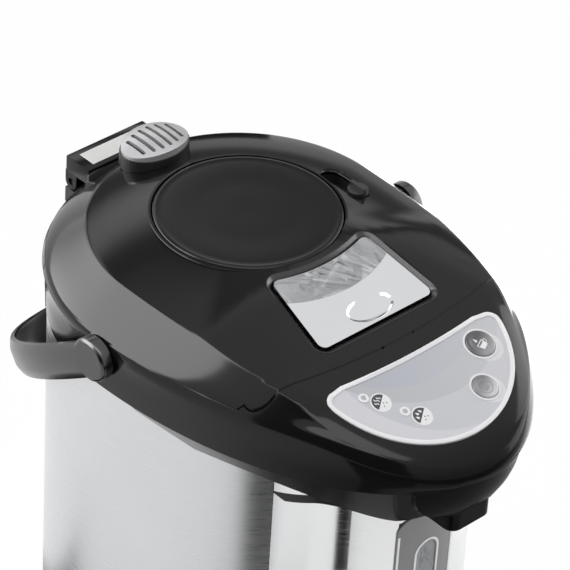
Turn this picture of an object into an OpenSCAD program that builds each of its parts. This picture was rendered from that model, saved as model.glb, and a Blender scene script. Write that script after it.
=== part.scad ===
// Electric thermo pot: steel body on a swivel stand, overhanging spout head,
// hinged lid with hand pump, carrying bail, electric pump in the base.
// Origin: body axis on the standing surface. +Z up, the spout faces -Y.

/* [Body] */
// Outer radius of the steel body
body_r = 104; // [98:1:110]
// Thickness of the steel sheets
sheet_t = 0.8; // [0.6:0.1:1.2]
// Height of the black base above the surface
base_h = 46; // [46:1:56]
// Height of the collar's lower edge above the surface
collar_z = 310; // [296:1:330]
// Height of the collar from its lower edge to the lid seam
collar_h = 31; // [30:1:34]
// Wall of the black mouldings
wall_t = 2.5; // [2:0.1:3]
// Gap between mouldings that meet
gap = 0.3; // [0.2:0.05:0.4]

/* [Head] */
// How far the collar stands out beyond the steel
collar_lip = 1.5; // [1:0.1:2]
// Reach of the head in front of the body axis at its widest
head_reach = 190; // [184:1:196]
// Reach of the head's lower edge in front of the body axis
chin_reach = 185; // [178:1:190]
// Height of the widest line of the head above its lower edge
belly_h = 20; // [16:1:24]
// Fall of the head's underside per unit of run towards the column
belly_slope = 1.35; // [1.2:0.05:1.5]
// Distance in front of the axis where the flat panel deck begins
deck_y = 118; // [114:1:121]
// Tilt of the panel deck in degrees
deck_tilt = 19.3; // [17:0.1:21]

/* [Lid] */
// Height of the lid's centre above the seam
lid_h = 29; // [27:1:32]
// How much lower the crease lies than the lid's centre
crease_drop = 9; // [7:0.5:11]
// Radius of the crease that edges the lid's top
crease_r = 84.5; // [82:0.5:87]
// Distance in front of the axis where the lid's top starts to fall
knee_y = 60; // [56:1:64]
// Distance in front of the axis of the lid's front seam
seam_y = 114.5; // [110:0.5:116]
// Opening angle of the lid in degrees
lid_open = 80; // [60:1:85]
// Diameter of the lid's hinge pin
hinge_pin_d = 4; // [3:0.5:5]

/* [Hand pump] */
// Radius of the pump disc in the lid
disc_r = 50.3; // [46:0.1:51]
// Stroke of the pump disc
disc_stroke = 20; // [14:1:24]
// Outer radius of the air bellows
bellows_r = 38; // [32:1:42]
// Number of folds in the bellows
bellows_folds = 6; // [4:1:8]
// Travel of the lock knob
lock_travel = 20; // [14:1:22]
// Radius of the lock knob
knob_r = 5.6; // [5:0.1:6]

/* [Lid lever and vent] */
// Half width of the lever at its rear edge
lever_rear = 34; // [31:0.5:35]
// Half width of the lever at its front edge
lever_front = 39.4; // [37:0.1:41]
// Length of the lever from rear edge to front edge
lever_len = 45.8; // [43:0.1:47]
// Number of slots in the vent cap
vent_slots = 6; // [4:1:7]
// Width of a vent slot
vent_slot_w = 2.2; // [1.6:0.1:2.6]

/* [Column and gauge] */
// Half width of the front column
column_w = 55; // [52:0.5:57]
// Distance from the body axis to the column's nose
column_y = 148; // [144:0.5:150]
// Radius of the column's curved front
column_front_r = 85; // [80:1:95]
// Radius of the column's corners
column_corner_r = 22; // [18:0.5:25]
// Half width of the gauge trim
trim_w = 20.5; // [17:0.5:23]
// Half width of the gauge window
window_w = 6.4; // [5.5:0.1:7]
// Top of the gauge window above the surface
window_top = 242; // [225:1:250]
// Outer radius of the level tube
tube_r = 4.5; // [4:0.1:5]

/* [Panel] */
// Half width of the control panel
panel_w = 61; // [57:0.5:62]
// Depth of the control panel along its slope
panel_len = 55.5; // [52:0.5:58]
// Distance from the start of the deck to the panel's rear edge
panel_start = 5; // [4:0.5:6]
// Width of the light border of the panel
border_w = 2.5; // [2:0.1:3]
// Radius of the dispense button
dispense_r = 8; // [7:0.1:9]
// Radius of the unlock button
unlock_r = 7; // [6:0.1:8]
// Travel of the buttons
button_travel = 1.2; // [0.8:0.1:1.4]

/* [Handle] */
// Half distance between the middles of the bail's arms
bail_w = 110; // [109.5:0.5:114]
// Distance from the bail's pivots to the middle of its far side
bail_reach = 146; // [146:1:152]
// Width of the bail's band
bail_h = 20; // [16:1:22]
// Thickness of the bail's band
bail_t = 6; // [5:0.2:6]
// Droop of the bail at rest in degrees
bail_droop = 35; // [32:1:38]
// Diameter of the bail's pivot pins
bail_pin_d = 8; // [6:0.5:9]

/* [Inside] */
// Inner radius of the water pot
pot_r = 94; // [88:1:95]
// Height of the pot's floor above the surface
pot_floor = 50; // [50:0.5:60]
// Radius of the heater plate
heater_r = 70; // [60:1:74]
// Radius of the pump's impeller
impeller_r = 14; // [11:0.5:14.5]
// Number of impeller vanes
vane_count = 6; // [4:1:8]

/* [Stand] */
// Radius of the swivel stand
stand_r = 92; // [84:1:96]
// Height of the rubber feet
foot_h = 2; // [1.5:0.1:3]
// Radius of a rubber foot
foot_r = 8; // [6:0.5:9]
// Number of rubber feet
foot_count = 6; // [4:1:8]
// Radius of the swivel hub
hub_r = 12; // [9:0.5:15]

/* [Hidden] */
$fn = 96;
eps = 0.01;
// Running clearance of a pin in its bore
run = 0.05;
seam_z = collar_z + collar_h;
top_z = seam_z + lid_h;
head_r = body_r + collar_lip;
seam_r = head_r - 0.2;
foot_edge_r = head_r - 0.6;
seam_reach = head_reach - 2;
crease_reach = head_reach - 9;
ring_n = 60;
shoulder = 5;
knee_slope = 0.2466;
deck_slope = tan(deck_tilt);

// Height of the lid's and head's top surface along the middle line
fall_len = deck_y - knee_y;
deck_z = top_z - (knee_slope + deck_slope) / 2 * fall_len;
function deck(y) = -y <= knee_y ? top_z
    : -y < deck_y ? top_z - knee_slope * (-y - knee_y)
        - (deck_slope - knee_slope) * pow(-y - knee_y, 2) / 2 / fall_len
    : deck_z - deck_slope * (-y - deck_y);

// Share of the side drop that is left at y: whole over the lid, none on the panel deck
function side_share(y) = -y <= knee_y ? 1 : -y >= deck_y ? 0 : (deck_y + y) / fall_len;

// Point i of m on an egg: a circle behind, a superellipse of exponent n in front
function egg(r, reach, n, i, m) =
    let (t = 360 * i / m, c = cos(t), s = sin(t),
         k = pow(pow(abs(c), n) + pow(abs(s), n), -1 / n))
    s >= 0 ? [r * c, r * s] : [r * k * c, reach * k * s];

// Rings of the head's skin, drawn in by inset and lowered by sink
function foot_ring(m, inset, sink) = [for (i = [0:m - 1])
    let (p = egg(foot_edge_r - inset, chin_reach - inset, 2, i, m)) [p.x, p.y, collar_z - sink]];
function belly_ring(m, inset) = [for (i = [0:m - 1])
    let (p = egg(head_r - inset, head_reach - inset, 2, i, m))
    [p.x, p.y, min(collar_z + belly_h, deck(p.y) - shoulder - 8)]];
function seam_ring(m, inset, sink) = [for (i = [0:m - 1])
    let (p = egg(seam_r - inset, seam_reach - inset, 1.93, i, m))
    [p.x, p.y, min(seam_z, deck(p.y) - shoulder) - sink]];
function top_ring(m, inset, sink, s) = [for (i = [0:m - 1])
    let (p = egg(crease_r - inset, crease_reach - inset, 2.6, i, m))
    [p.x * s, p.y * s, deck(p.y * s) - crease_drop * pow(s, 3) * side_share(p.y) - sink]];

// Solid between rings of m points, closed by a flat floor and an apex
module loft(rings, apex) {
    m = len(rings[0]);
    n = len(rings);
    points = concat([for (r = rings) each r], [apex]);
    sides = [for (j = [0:n - 2], i = [0:m - 1])
        let (a = j * m + i, b = j * m + (i + 1) % m)
        each [[a, a + m, b], [b, a + m, b + m]]];
    cap = [for (i = [0:m - 1]) [(n - 1) * m + i, n * m, (n - 1) * m + (i + 1) % m]];
    polyhedron(points, concat(sides, cap, [[for (i = [0:m - 1]) i]]));
}

// Outer skin of head and lid together
module skin_outer()
    loft(concat([foot_ring(ring_n, 0, 0), belly_ring(ring_n, 0), seam_ring(ring_n, 0, 0)],
                [for (s = [1, 0.88, 0.76, 0.64, 0.52, 0.4, 0.2]) top_ring(ring_n, 0, 0, s)]), [0, 0, top_z]);

// The same skin drawn in by one wall
module skin_inner(m = 32)
    loft(concat([foot_ring(m, wall_t, 8), belly_ring(m, wall_t), seam_ring(m, wall_t, wall_t)],
                [for (s = [1, 0.66, 0.33]) top_ring(m, wall_t, wall_t, s)]), [0, 0, top_z - wall_t]);

// Plan of the lid's cut, grown by g: a shallow front arc, rounded corners, open sides
seam_arc_r = 430;
seam_corner_r = 11;
seam_corner_x = body_r - 28;
seam_corner_y = -(seam_y - 18);
module lid_plan(g) {
    arc_x = seam_corner_x - 2;
    front = [for (i = [-8:8]) let (x = arc_x * i / 8)
        [x, -seam_y - g + seam_arc_r - sqrt(seam_arc_r * seam_arc_r - x * x)]];
    corner = [for (a = [-75:15:0])
        [seam_corner_x + (seam_corner_r + g) * cos(a), seam_corner_y + (seam_corner_r + g) * sin(a)]];
    side = [[head_r + 30, seam_corner_y + 43], [head_r + 30, head_r + 30]];
    right = concat(corner, side);
    left = [for (i = [len(right) - 1:-1:0]) [-right[i].x, right[i].y]];
    polygon(concat(left, front, right));
}

// Everything behind the lid's front seam, from height z up
module lid_zone(g, z) translate([0, 0, z]) linear_extrude(80) lid_plan(g);

// Plan of the front column, grown by g
column_root = body_r * 0.8;
column_arc_y = -column_y + column_front_r;
column_corner_x = column_w - column_corner_r;
column_corner_y = column_arc_y
    - sqrt(pow(column_front_r - column_corner_r, 2) - pow(column_corner_x, 2));
module column_plan(g) {
    far = 2 * column_front_r;
    reach = [column_corner_x, column_corner_y - column_arc_y] * far / column_front_r;
    translate([-column_w - g, column_corner_y])
        square([2 * (column_w + g), -column_corner_y - column_root + g]);
    for (s = [-1, 1]) translate([s * column_corner_x, column_corner_y]) circle(column_corner_r + g);
    intersection() {
        translate([0, column_arc_y]) circle(column_front_r + g, $fn = 180);
        translate([0, column_arc_y]) polygon([[0, 0], [reach.x, reach.y], [-reach.x, reach.y]]);
    }
}

// Rounded rectangle of half width w from z0 to z1, standing in the XZ plane, cut along Y
module tall_slot(w, r, z0, z1, y0, y1)
    translate([0, y1, 0]) rotate([90, 0, 0]) linear_extrude(y1 - y0) {
        translate([-w, z0 + r]) square([2 * w, z1 - z0 - 2 * r]);
        if (w > r) translate([-w + r, z0]) square([2 * (w - r), z1 - z0]);
        for (x = [-w + r, w - r], z = [z0 + r, z1 - r]) translate([x, z]) circle(r, $fn = 48);
    }

module tube(r_out, r_in, h) difference() {
    cylinder(r = r_out, h = h);
    translate([0, 0, -1]) cylinder(r = r_in, h = h + 2);
}

// Route through corner points with each corner rounded to radius r
function unit(v) = v / norm(v);
function rounded(pts, r, n = 5) = concat([pts[0]],
    [for (k = [1:len(pts) - 2])
        let (a = unit(pts[k - 1] - pts[k]), b = unit(pts[k + 1] - pts[k]),
             half = acos(a * b) / 2, c = pts[k] + unit(a + b) * r / sin(half),
             p = pts[k] + a * r / tan(half) - c, q = pts[k] + b * r / tan(half) - c, turn = 180 - 2 * half)
        for (j = [0:n]) c + (p * sin(turn * (n - j) / n) + q * sin(turn * j / n)) / sin(turn)],
    [pts[len(pts) - 1]]);

// Direction of a route at point k, and rings about it that never twist
function along(path, k) = let (i = min(k, len(path) - 1))
    unit(path[min(i + 1, len(path) - 1)] - path[max(i - 1, 0)]);
function square_to(u, t) = unit(u - (u * t) * t);
function hose_rings(path, r, m, start) = [for (k = 0, u = square_to(start, along(path, 0));
        k < len(path); k = k + 1, u = square_to(u, along(path, k)))
    let (v = cross(along(path, k), u)) [for (i = [0:m - 1]) path[k] + r * (cos(360 * i / m) * u + sin(360 * i / m) * v)]];
module hose_solid(path, r, m = 12, start = [0, 0, 1]) {
    rings = hose_rings(path, r, m, start);
    n = len(path);
    sides = [for (j = [0:n - 2], i = [0:m - 1])
        let (a = j * m + i, b = j * m + (i + 1) % m) each [[a, a + m, b], [b, a + m, b + m]]];
    ends = [[for (i = [0:m - 1]) i], [for (i = [m - 1:-1:0]) (n - 1) * m + i]];
    polyhedron([for (ring = rings) each ring], concat(sides, ends));
}
module hose(path, r, q, start) difference() {
    n = len(path);
    hose_solid(path, r, 12, start);
    hose_solid(concat([path[0] - along(path, 0)], path, [path[n - 1] + along(path, n - 1)]), q, 12, start);
}

// Coil spring: wire radius w, coil radius r, from z0 to z1
module coil(r, w, z0, z1, turns, steps = 12, m = 6) {
    n = turns * steps;
    hose_solid([for (k = [0:n]) let (t = 360 * k / steps)
        [r * cos(t), r * sin(t), z0 + w + (z1 - z0 - 2 * w) * k / n]], w, m);
}

// ---- stand ----
stand_t = 4;
stand_top = foot_h + stand_t;
cover_z = stand_top + gap;
retainer_t = 1.2;
retainer_r = hub_r + 4;
cover_t = 2.5;
hub_top = cover_z + cover_t + gap;

module swivel_stand() color("#202022") difference() {
    union() {
        translate([0, 0, foot_h]) cylinder(r1 = stand_r - 1.5, r2 = stand_r, h = stand_t);
        translate([0, 0, foot_h]) cylinder(r = hub_r, h = hub_top - foot_h);
    }
    for (r = [hub_r + 16, (hub_r + stand_r) / 2 + 4])
        translate([0, 0, foot_h + 1.6]) difference() {
            cylinder(r = r + 9, h = stand_t);
            translate([0, 0, -1]) cylinder(r = r, h = stand_t + 2);
        }
}

module rubber_feet() color("#303030") {
    cylinder(r = hub_r, h = foot_h);
    for (i = [0:foot_count - 1]) rotate([0, 0, 360 * i / foot_count + 30])
        translate([stand_r - foot_r - 5, 0, 0]) cylinder(r1 = foot_r - 1, r2 = foot_r, h = foot_h);
}

// ---- base ----
base_bottom = 5;
base_lip = 1.4;
deck_t = 2.5;
boss_r = 4;
boss_at = body_r - 13;
pump_y = -20;
gauge_y = -(column_y - 9.5);
outlet_y = -(pot_r - 16);
inlet_w = 15;
inlet_h = 22;
inlet_z = 14;
support_r = pot_r - 14;
screw_r = 1.5;

module base_plan(g) {
    circle(body_r + collar_lip + g);
    column_plan(base_lip + g);
}

module base_housing() color("#1a1a1c") difference() {
    union() {
        difference() {
            translate([0, 0, base_bottom]) linear_extrude(base_h - base_bottom) base_plan(0);
            translate([0, 0, base_bottom - 1])
                linear_extrude(base_h - base_bottom - deck_t + 1) base_plan(-wall_t);
            translate([0, 0, base_h - deck_t - 1]) cylinder(r = support_r - 4, h = deck_t + 2);
        }
        translate([0, 0, base_h - deck_t]) difference() {
            cylinder(r = support_r, h = pot_floor - sheet_t - gap - base_h + deck_t);
            translate([0, 0, -1]) cylinder(r = support_r - 4, h = pot_floor);
        }
        translate([0, 0, base_h - eps]) difference() {
            cylinder(r = body_r - sheet_t - gap, h = 5);
            translate([0, 0, -1]) cylinder(r = body_r - sheet_t - gap - wall_t, h = 7);
        }
        for (a = [45:90:315]) rotate([0, 0, a]) translate([boss_at, 0, cover_z + cover_t + gap])
            cylinder(r = boss_r, h = base_h - deck_t - cover_z - cover_t - gap + eps);
    }
    for (a = [45:90:315]) rotate([0, 0, a]) translate([boss_at, 0, 0])
        cylinder(r = screw_r + run, h = base_h - 14);
    translate([0, outlet_y, base_h - deck_t - 1]) cylinder(r = 9, h = 20);
    translate([0, gauge_y, base_h - deck_t - 1]) cylinder(r = 6, h = deck_t + 2);
    translate([-inlet_w - gap, body_r - 20, inlet_z - gap]) cube([2 * (inlet_w + gap), 40, inlet_h + 2 * gap]);
}

board_z = 16;
pump_z = hub_top + retainer_t + 1;
module bottom_cover() color("#26262a") difference() {
    union() {
        translate([0, 0, cover_z]) linear_extrude(cover_t) base_plan(-wall_t - gap);
        for (x = [-30, 30], y = [28, 66]) translate([x, y, cover_z + 1]) cylinder(r = 3, h = board_z - cover_z - 1);
        for (a = [30, 150, 270]) translate([15 * cos(a), pump_y + 15 * sin(a) - 5, cover_z + 1])
            cylinder(r = 2.5, h = pump_z - cover_z - 1);
    }
    translate([0, 0, cover_z - 1]) cylinder(r = hub_r + run, h = 12);
    for (a = [45:90:315]) rotate([0, 0, a]) translate([boss_at, 0, 0]) {
        cylinder(r = screw_r + 0.3, h = 20);
        cylinder(r = 3.4, h = cover_z + 1.2);
    }
    for (i = [-5:5]) translate([i * 9 - 1.5, -(body_r + 12), cover_z - 1]) cube([3, 22, wall_t + 2]);
}

module swivel_retainer() color("#8a8a8c") difference() {
    translate([0, 0, hub_top]) cylinder(r = retainer_r, h = retainer_t);
    for (a = [0:120:240]) rotate([0, 0, a]) translate([hub_r - 4, 0, 0]) cylinder(r = 1.2, h = 30);
}

module base_screws() color("#9a9a9c") for (a = [45:90:315])
    rotate([0, 0, a]) translate([boss_at, 0, cover_z]) {
        translate([0, 0, 0.2]) cylinder(r = 3, h = 1);
        cylinder(r = screw_r, h = base_h - 18 - cover_z);
    }

// ---- electrics in the base ----
module power_board() color("#2f6b3a") {
    translate([-38, 20, board_z]) cube([76, 54, 1.6]);
    translate([-30, 26, board_z + 1.6 - eps]) cube([24, 20, 15]);
    translate([2, 26, board_z + 1.6 - eps]) cube([18, 14, 13]);
    translate([26, 32, board_z + 1.6 - eps]) cube([8, 20, 8]);
    for (x = [-22, -8]) translate([x, 60, board_z + 1.6 - eps]) cylinder(r = 5.5, h = 16);
    translate([8, 50, board_z + 1.6 - eps]) cube([14, 16, 6]);
}

// Rear power socket: an open-backed box with three blades in it
module power_inlet() color("#151517") {
    difference() {
        translate([-inlet_w, body_r - 20, inlet_z]) cube([2 * inlet_w, 19.6, inlet_h]);
        translate([-inlet_w + 3, body_r - 15, inlet_z + 3.5]) cube([2 * inlet_w - 6, 40, inlet_h - 7]);
    }
    for (x = [-7, 0, 7]) translate([x - 1, body_r - 16, inlet_z + inlet_h / 2 - (x == 0 ? -0.5 : 3)])
        cube([2, 8, 4]);
}

module heater_plate() color("#b5b7ba") difference() {
    union() {
        translate([0, 0, pot_floor - sheet_t - gap - 3]) cylinder(r = heater_r, h = 3);
        translate([0, 0, pot_floor - sheet_t - gap - 7]) tube(heater_r - 14, heater_r - 23, 4 + eps);
        for (x = [-8, 8]) translate([x, heater_r - 19, pot_floor - sheet_t - gap - 12]) cylinder(r = 1.6, h = 6);
    }
    translate([0, outlet_y, 0]) cylinder(r = 8, h = pot_floor);
}

module thermostats() color("#d8d6cc")
    for (x = [-16, 16]) translate([x, 8, pot_floor - sheet_t - 2 * gap - 3]) {
        translate([0, 0, -4]) cylinder(r = 9, h = 4);
        translate([0, 0, -10]) cylinder(r = 7, h = 6 + eps);
        for (s = [-3, 3]) translate([s - 0.4, -2, -14]) cube([0.8, 4, 4 + eps]);
    }

// ---- electric pump ----
chamber_r = impeller_r + 1.5;
volute_r = chamber_r + 4.5;
chamber_z = pump_z + 3;
chamber_h = 12;
port_z = chamber_z + chamber_h / 2;
port_r = 5;
port_bore = 3.2;

module pump_housing() color("#3a3c40") difference() {
    union() {
        translate([0, pump_y, pump_z]) cylinder(r = volute_r, h = 3 + chamber_h);
        translate([0, pump_y - volute_r + 2, port_z]) rotate([90, 0, 0]) cylinder(r = port_r, h = 11);
        translate([volute_r - 2, pump_y, port_z]) rotate([0, 90, 0]) cylinder(r = port_r, h = 11);
    }
    translate([0, pump_y, chamber_z]) cylinder(r = chamber_r, h = chamber_h + 1);
    translate([0, pump_y - chamber_r + 3, port_z]) rotate([90, 0, 0]) cylinder(r = port_bore, h = 24);
    translate([chamber_r - 3, pump_y, port_z]) rotate([0, 90, 0]) cylinder(r = port_bore, h = 24);
    translate([0, pump_y, pump_z + 1]) cylinder(r = rotor_pin_r, h = 20);
}

rotor_pin_r = 1.5;
module rotor_pin() color("#c8c8ca")
    translate([0, pump_y, pump_z + 1]) cylinder(r = rotor_pin_r - 0.01, h = chamber_h + 1);

module pump_rotor() color("#e3e1da") translate([0, pump_y, chamber_z + 0.6]) difference() {
    union() {
        cylinder(r = impeller_r, h = 1.6);
        cylinder(r = impeller_r * 0.45, h = chamber_h - 1.6);
        for (i = [0:vane_count - 1]) rotate([0, 0, 360 * i / vane_count])
            translate([impeller_r * 0.3, 0, 0]) rotate([0, 0, -20])
                cube([impeller_r * 0.62, 1.4, chamber_h - 3]);
    }
    translate([0, 0, -1]) cylinder(r = rotor_pin_r + run, h = chamber_h + 2);
}

module pump_motor() color("#8f9296") translate([0, pump_y, chamber_z + chamber_h + gap]) {
    cylinder(r = volute_r, h = 2.6);
    translate([0, 0, 2.6 - eps]) cylinder(r = volute_r - 5, h = 9.5);
    translate([0, 0, 12]) cylinder(r = 4, h = 1.5);
    for (a = [30:120:270]) rotate([0, 0, a]) translate([volute_r - 2.4, 0, 2.5]) cylinder(r = 1.6, h = 1.4);
}

hose_r = 7;
hose_bore = 5.5;
module inlet_hose() color("#cfd3d6")
    hose(rounded([[0, outlet_y, pot_floor - 11 - gap], [0, outlet_y, port_z],
                  [0, pump_y - volute_r - 9 - gap, port_z]], 9), hose_r, hose_bore, [1, 0, 0]);

module outlet_hose() color("#cfd3d6")
    hose(rounded([[volute_r + 9 + gap, pump_y, port_z], [volute_r + 24, pump_y, port_z],
                  [volute_r + 24, gauge_y + 20, port_z], [0, gauge_y, port_z],
                  [0, gauge_y, base_h - deck_t - 8 - gap]], 9), hose_r, hose_bore, [0, 0, 1]);

// ---- body shells ----
module outer_shell() color("#c9ccd0") difference() {
    translate([0, 0, base_h]) cylinder(r = body_r, h = collar_z - base_h - 0.2);
    translate([0, 0, base_h - 1]) cylinder(r = body_r - sheet_t, h = collar_z);
    translate([-column_w + 7, -body_r - 10, base_h + 8])
        cube([2 * column_w - 14, 40, collar_z - base_h - 44]);
}

column_top = collar_z - 20;
trim_z = 57;
trim_top = window_top + 22;
module front_column() color("#d4d6d9") difference() {
    translate([0, 0, base_h]) linear_extrude(column_top - base_h) difference() {
        column_plan(0);
        column_plan(-1);
    }
    translate([0, 0, base_h - 1]) cylinder(r = body_r + gap, h = column_top);
    translate([-trim_w + 1, -column_y - 5, trim_z + 1]) cube([2 * trim_w - 2, 14, trim_top - trim_z - 2]);
}

trim_proud = 0.9;
module gauge_trim() color("#8c8d90") difference() {
    union() {
        intersection() {
            tall_slot(trim_w, 9, trim_z, trim_top, -column_y - 5, -column_y + 9);
            linear_extrude(trim_top + 1) difference() {
                column_plan(trim_proud);
                column_plan(0.05);
            }
        }
        intersection() {
            tall_slot(trim_w - 1.3, 8, trim_z + 1.3, trim_top - 1.3, -column_y - 5, -column_y + 9);
            linear_extrude(trim_top + 1) difference() {
                column_plan(0.2);
                column_plan(-2.6);
            }
        }
    }
    tall_slot(window_w + gap, window_w + gap - 0.05, window_z - gap, window_top + gap, -column_y - 6, -column_y + 12);
}

window_z = 74;
module gauge_window() color("#e8f0f4", 0.4) intersection() {
    tall_slot(window_w, window_w - 0.05, window_z, window_top, -column_y - 5, -column_y + 9);
    linear_extrude(window_top + 1) difference() {
        column_plan(0.5);
        column_plan(-1.6);
    }
}

module level_tube() color("#dfe8ec", 0.5)
    translate([0, gauge_y, base_h + 6]) tube(tube_r, tube_r - 1.2, window_top + 10 - base_h - 6);

// Rubber joints at the foot and the head of the level tube
module lower_joint() color("#b9bcbf") translate([0, gauge_y, 0]) difference() {
    union() {
        translate([0, 0, base_h + gap]) cylinder(r = 8, h = 12);
        translate([0, 0, base_h - deck_t - 8]) cylinder(r = port_r, h = 12);
    }
    translate([0, 0, base_h + 6 - gap]) cylinder(r = tube_r + 0.1, h = 20);
    translate([0, 0, base_h - 20]) cylinder(r = port_bore, h = 40);
}

// The upper joint stays clear of the gauge trim in front of it
upper_joint_r = tube_r + 2;
module upper_joint() color("#b9bcbf") translate([0, gauge_y, window_top]) difference() {
    union() {
        translate([0, 0, 4]) cylinder(r = upper_joint_r, h = 12);
        translate([0, 0, 15]) cylinder(r = port_r, h = 12);
    }
    translate([0, 0, 0]) cylinder(r = tube_r + 0.1, h = 10 + gap);
    translate([0, 0, 9]) cylinder(r = port_bore, h = 30);
}

// ---- water pot ----
pot_t = 0.8;
neck_r = pot_r - 8;
rim_z = collar_z - 6;
module inner_pot() color("#b8bcc0") difference() {
    union() {
        rotate_extrude() difference() {
            pot_outline(pot_t);
            pot_outline(0);
        }
        translate([0, outlet_y, pot_floor - 11]) cylinder(r = port_r, h = 11);
    }
    translate([0, outlet_y, pot_floor - 12]) cylinder(r = port_bore, h = 20);
}
// Half section of the pot's inside, thickened by t
module pot_outline(t) {
    corner = 12;
    translate([0, pot_floor - t]) square([pot_r - corner, rim_z - pot_floor + t]);
    translate([0, pot_floor + corner]) square([pot_r + t, rim_z - pot_floor - corner - 18]);
    intersection() {
        translate([pot_r - corner, pot_floor + corner]) circle(corner + t);
        translate([0, pot_floor - t]) square([pot_r + t, corner + t]);
    }
    polygon([[0, rim_z - 18 - eps], [pot_r + t, rim_z - 18 - eps], [neck_r + t, rim_z - 8], [0, rim_z - 8]]);
    translate([0, rim_z - 8 - eps]) square([neck_r + t, 8 + eps]);
    if (t > 0) translate([0, rim_z - t]) square([neck_r + 12, t]);
}

throat_r = pot_r - 1.5;
module rim_gasket() color("#d9d5cb")
    translate([0, 0, rim_z]) tube(neck_r + 11.5, neck_r + 7, 2.2);

// ---- collar and head ----
panel_foot = [0, -deck_y, deck_z];
module on_deck() translate(panel_foot) rotate([deck_tilt, 0, 0]) children();

// Outline of the control panel in the deck's plane, grown by g
panel_tip_r = 7;
module panel_plan(g) {
    far = panel_start + panel_len;
    ell_c = -panel_start + 7;
    rear_r = 500;
    n = 28;
    low = -asin((panel_start + 9 + ell_c) / (far + ell_c));
    arc = [for (i = [0:n]) let (t = 180 - low + (180 + 2 * low) * i / n)
        [(panel_w + g) * cos(t), ell_c + (far + ell_c + g) * sin(t)]];
    tip = [for (s = [1, -1], k = [0:3]) let (a = s > 0 ? 20 + 25 * k : 90 + 22 * k)
        [s * (panel_w - panel_tip_r - 1.5) + (panel_tip_r + g) * cos(a),
         -panel_start - panel_tip_r - 1.2 + (panel_tip_r + g) * sin(a) + 1.2]];
    rear = [for (i = [3:-1:-3]) let (x = (panel_w - panel_tip_r - 8) * i / 3)
        [x, -panel_start + g - 1.2 + (x * x) / 2 / rear_r]];
    polygon(concat(arc, [for (k = [0:3]) tip[k]], rear, [for (k = [4:7]) tip[k]]));
}

button_1 = [38.6, -19.4];
button_2 = [22.6, -41.3];
lamp_1 = [-39.7, -15.6];
lamp_2 = [-25.6, -32.3];
lamp_r = 2.4;
panel_t = 1.6;
skin_t = wall_t + 0.8;
board_depth = skin_t + 5.6;
post_at = [[0, -14], [-46, -14], [20, -16], [0, -46]];

hinge_y = body_r + 7.5;
hinge_z = seam_z - 3;
knuckle_r = hinge_pin_d / 2 + 2.5;
hinge_w = 27;
knuckle_x = 11.5;
bail_y = -7;
bail_z = collar_z + 20;
boss_out = head_r + 1.2;
// The bosses end just under the lid's seam
pivot_boss_r = seam_z - gap - bail_z - 0.2;

module head_housing() color("#121214") difference() {
    union() {
        difference() {
            skin_outer();
            // hollow under the lid's shelf and in front of the seam wall
            intersection() {
                skin_inner();
                union() {
                    translate([-200, -250, 0]) cube([400, 500, seam_z - gap - 4]);
                    difference() {
                        translate([-200, -250, seam_z - 20]) cube([400, 250, 60]);
                        lid_zone(gap + wall_t, seam_z - 30);
                    }
                }
            }
            lid_zone(gap, seam_z - gap);
        }
        // throat over the pot's rim, spigot inside the steel, ribs between them
        translate([0, 0, rim_z + 2.2 + gap]) tube(throat_r + wall_t, throat_r, seam_z - gap - 2 - rim_z - 2.2 - gap);
        translate([0, 0, collar_z - 7]) tube(body_r - sheet_t - gap, body_r - sheet_t - gap - wall_t, 11);
        for (a = [15:30:345]) rotate([0, 0, a]) translate([throat_r + 1, -1, collar_z - 2])
            cube([body_r - throat_r - 4, 2, collar_h - gap - 1]);
        // bosses behind the bail's pivots
        for (s = [-1, 1]) translate([s * (boss_out - 4), bail_y, bail_z]) rotate([0, s * 90, 0])
            cylinder(r = pivot_boss_r, h = 4);
        on_deck() for (p = post_at) translate([p.x, p.y, -board_depth + gap]) cylinder(r = 2.2, h = board_depth - 1);
    }
    translate([0, 0, rim_z]) cylinder(r = throat_r, h = 80);
    on_deck() {
        translate([0, 0, -panel_t]) linear_extrude(20) panel_plan(0.2);
        translate([button_1.x, button_1.y, -10]) cylinder(r = dispense_r + gap, h = 20);
        translate([button_2.x, button_2.y, -10]) cylinder(r = unlock_r + gap, h = 20);
        for (p = [lamp_1, lamp_2]) translate([p.x, p.y, -10]) cylinder(r = lamp_r + 0.1, h = 20);
    }
    for (s = [-1, 1]) translate([s * (head_r - 10), bail_y, bail_z]) rotate([0, s * 90, 0])
        cylinder(r = bail_pin_d / 2, h = 20);
    translate([-13, -seam_y - 6, seam_z + 1.5]) cube([26, 12, 4.2]);
}

// Underside of the head: a shell that falls in towards the column and the spout
function belly(m, inset) = [for (d = [33, 23, 14, 6, 0]) [for (i = [0:m - 1])
    let (p = egg(foot_edge_r - d - inset, chin_reach - d - inset, 2, i, m))
    [p.x, p.y, collar_z - belly_slope * d]]];
module belly_solid(inset, lift) {
    rings = belly(ring_n, inset);
    m = ring_n;
    n = len(rings);
    sides = [for (j = [0:n - 2], i = [0:m - 1])
        let (a = j * m + i, b = j * m + (i + 1) % m) each [[a, a + m, b], [b, a + m, b + m]]];
    ends = [[for (i = [0:m - 1]) i], [for (i = [m - 1:-1:0]) (n - 1) * m + i]];
    translate([0, 0, lift]) polyhedron([for (ring = rings) each ring], concat(sides, ends));
}

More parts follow.
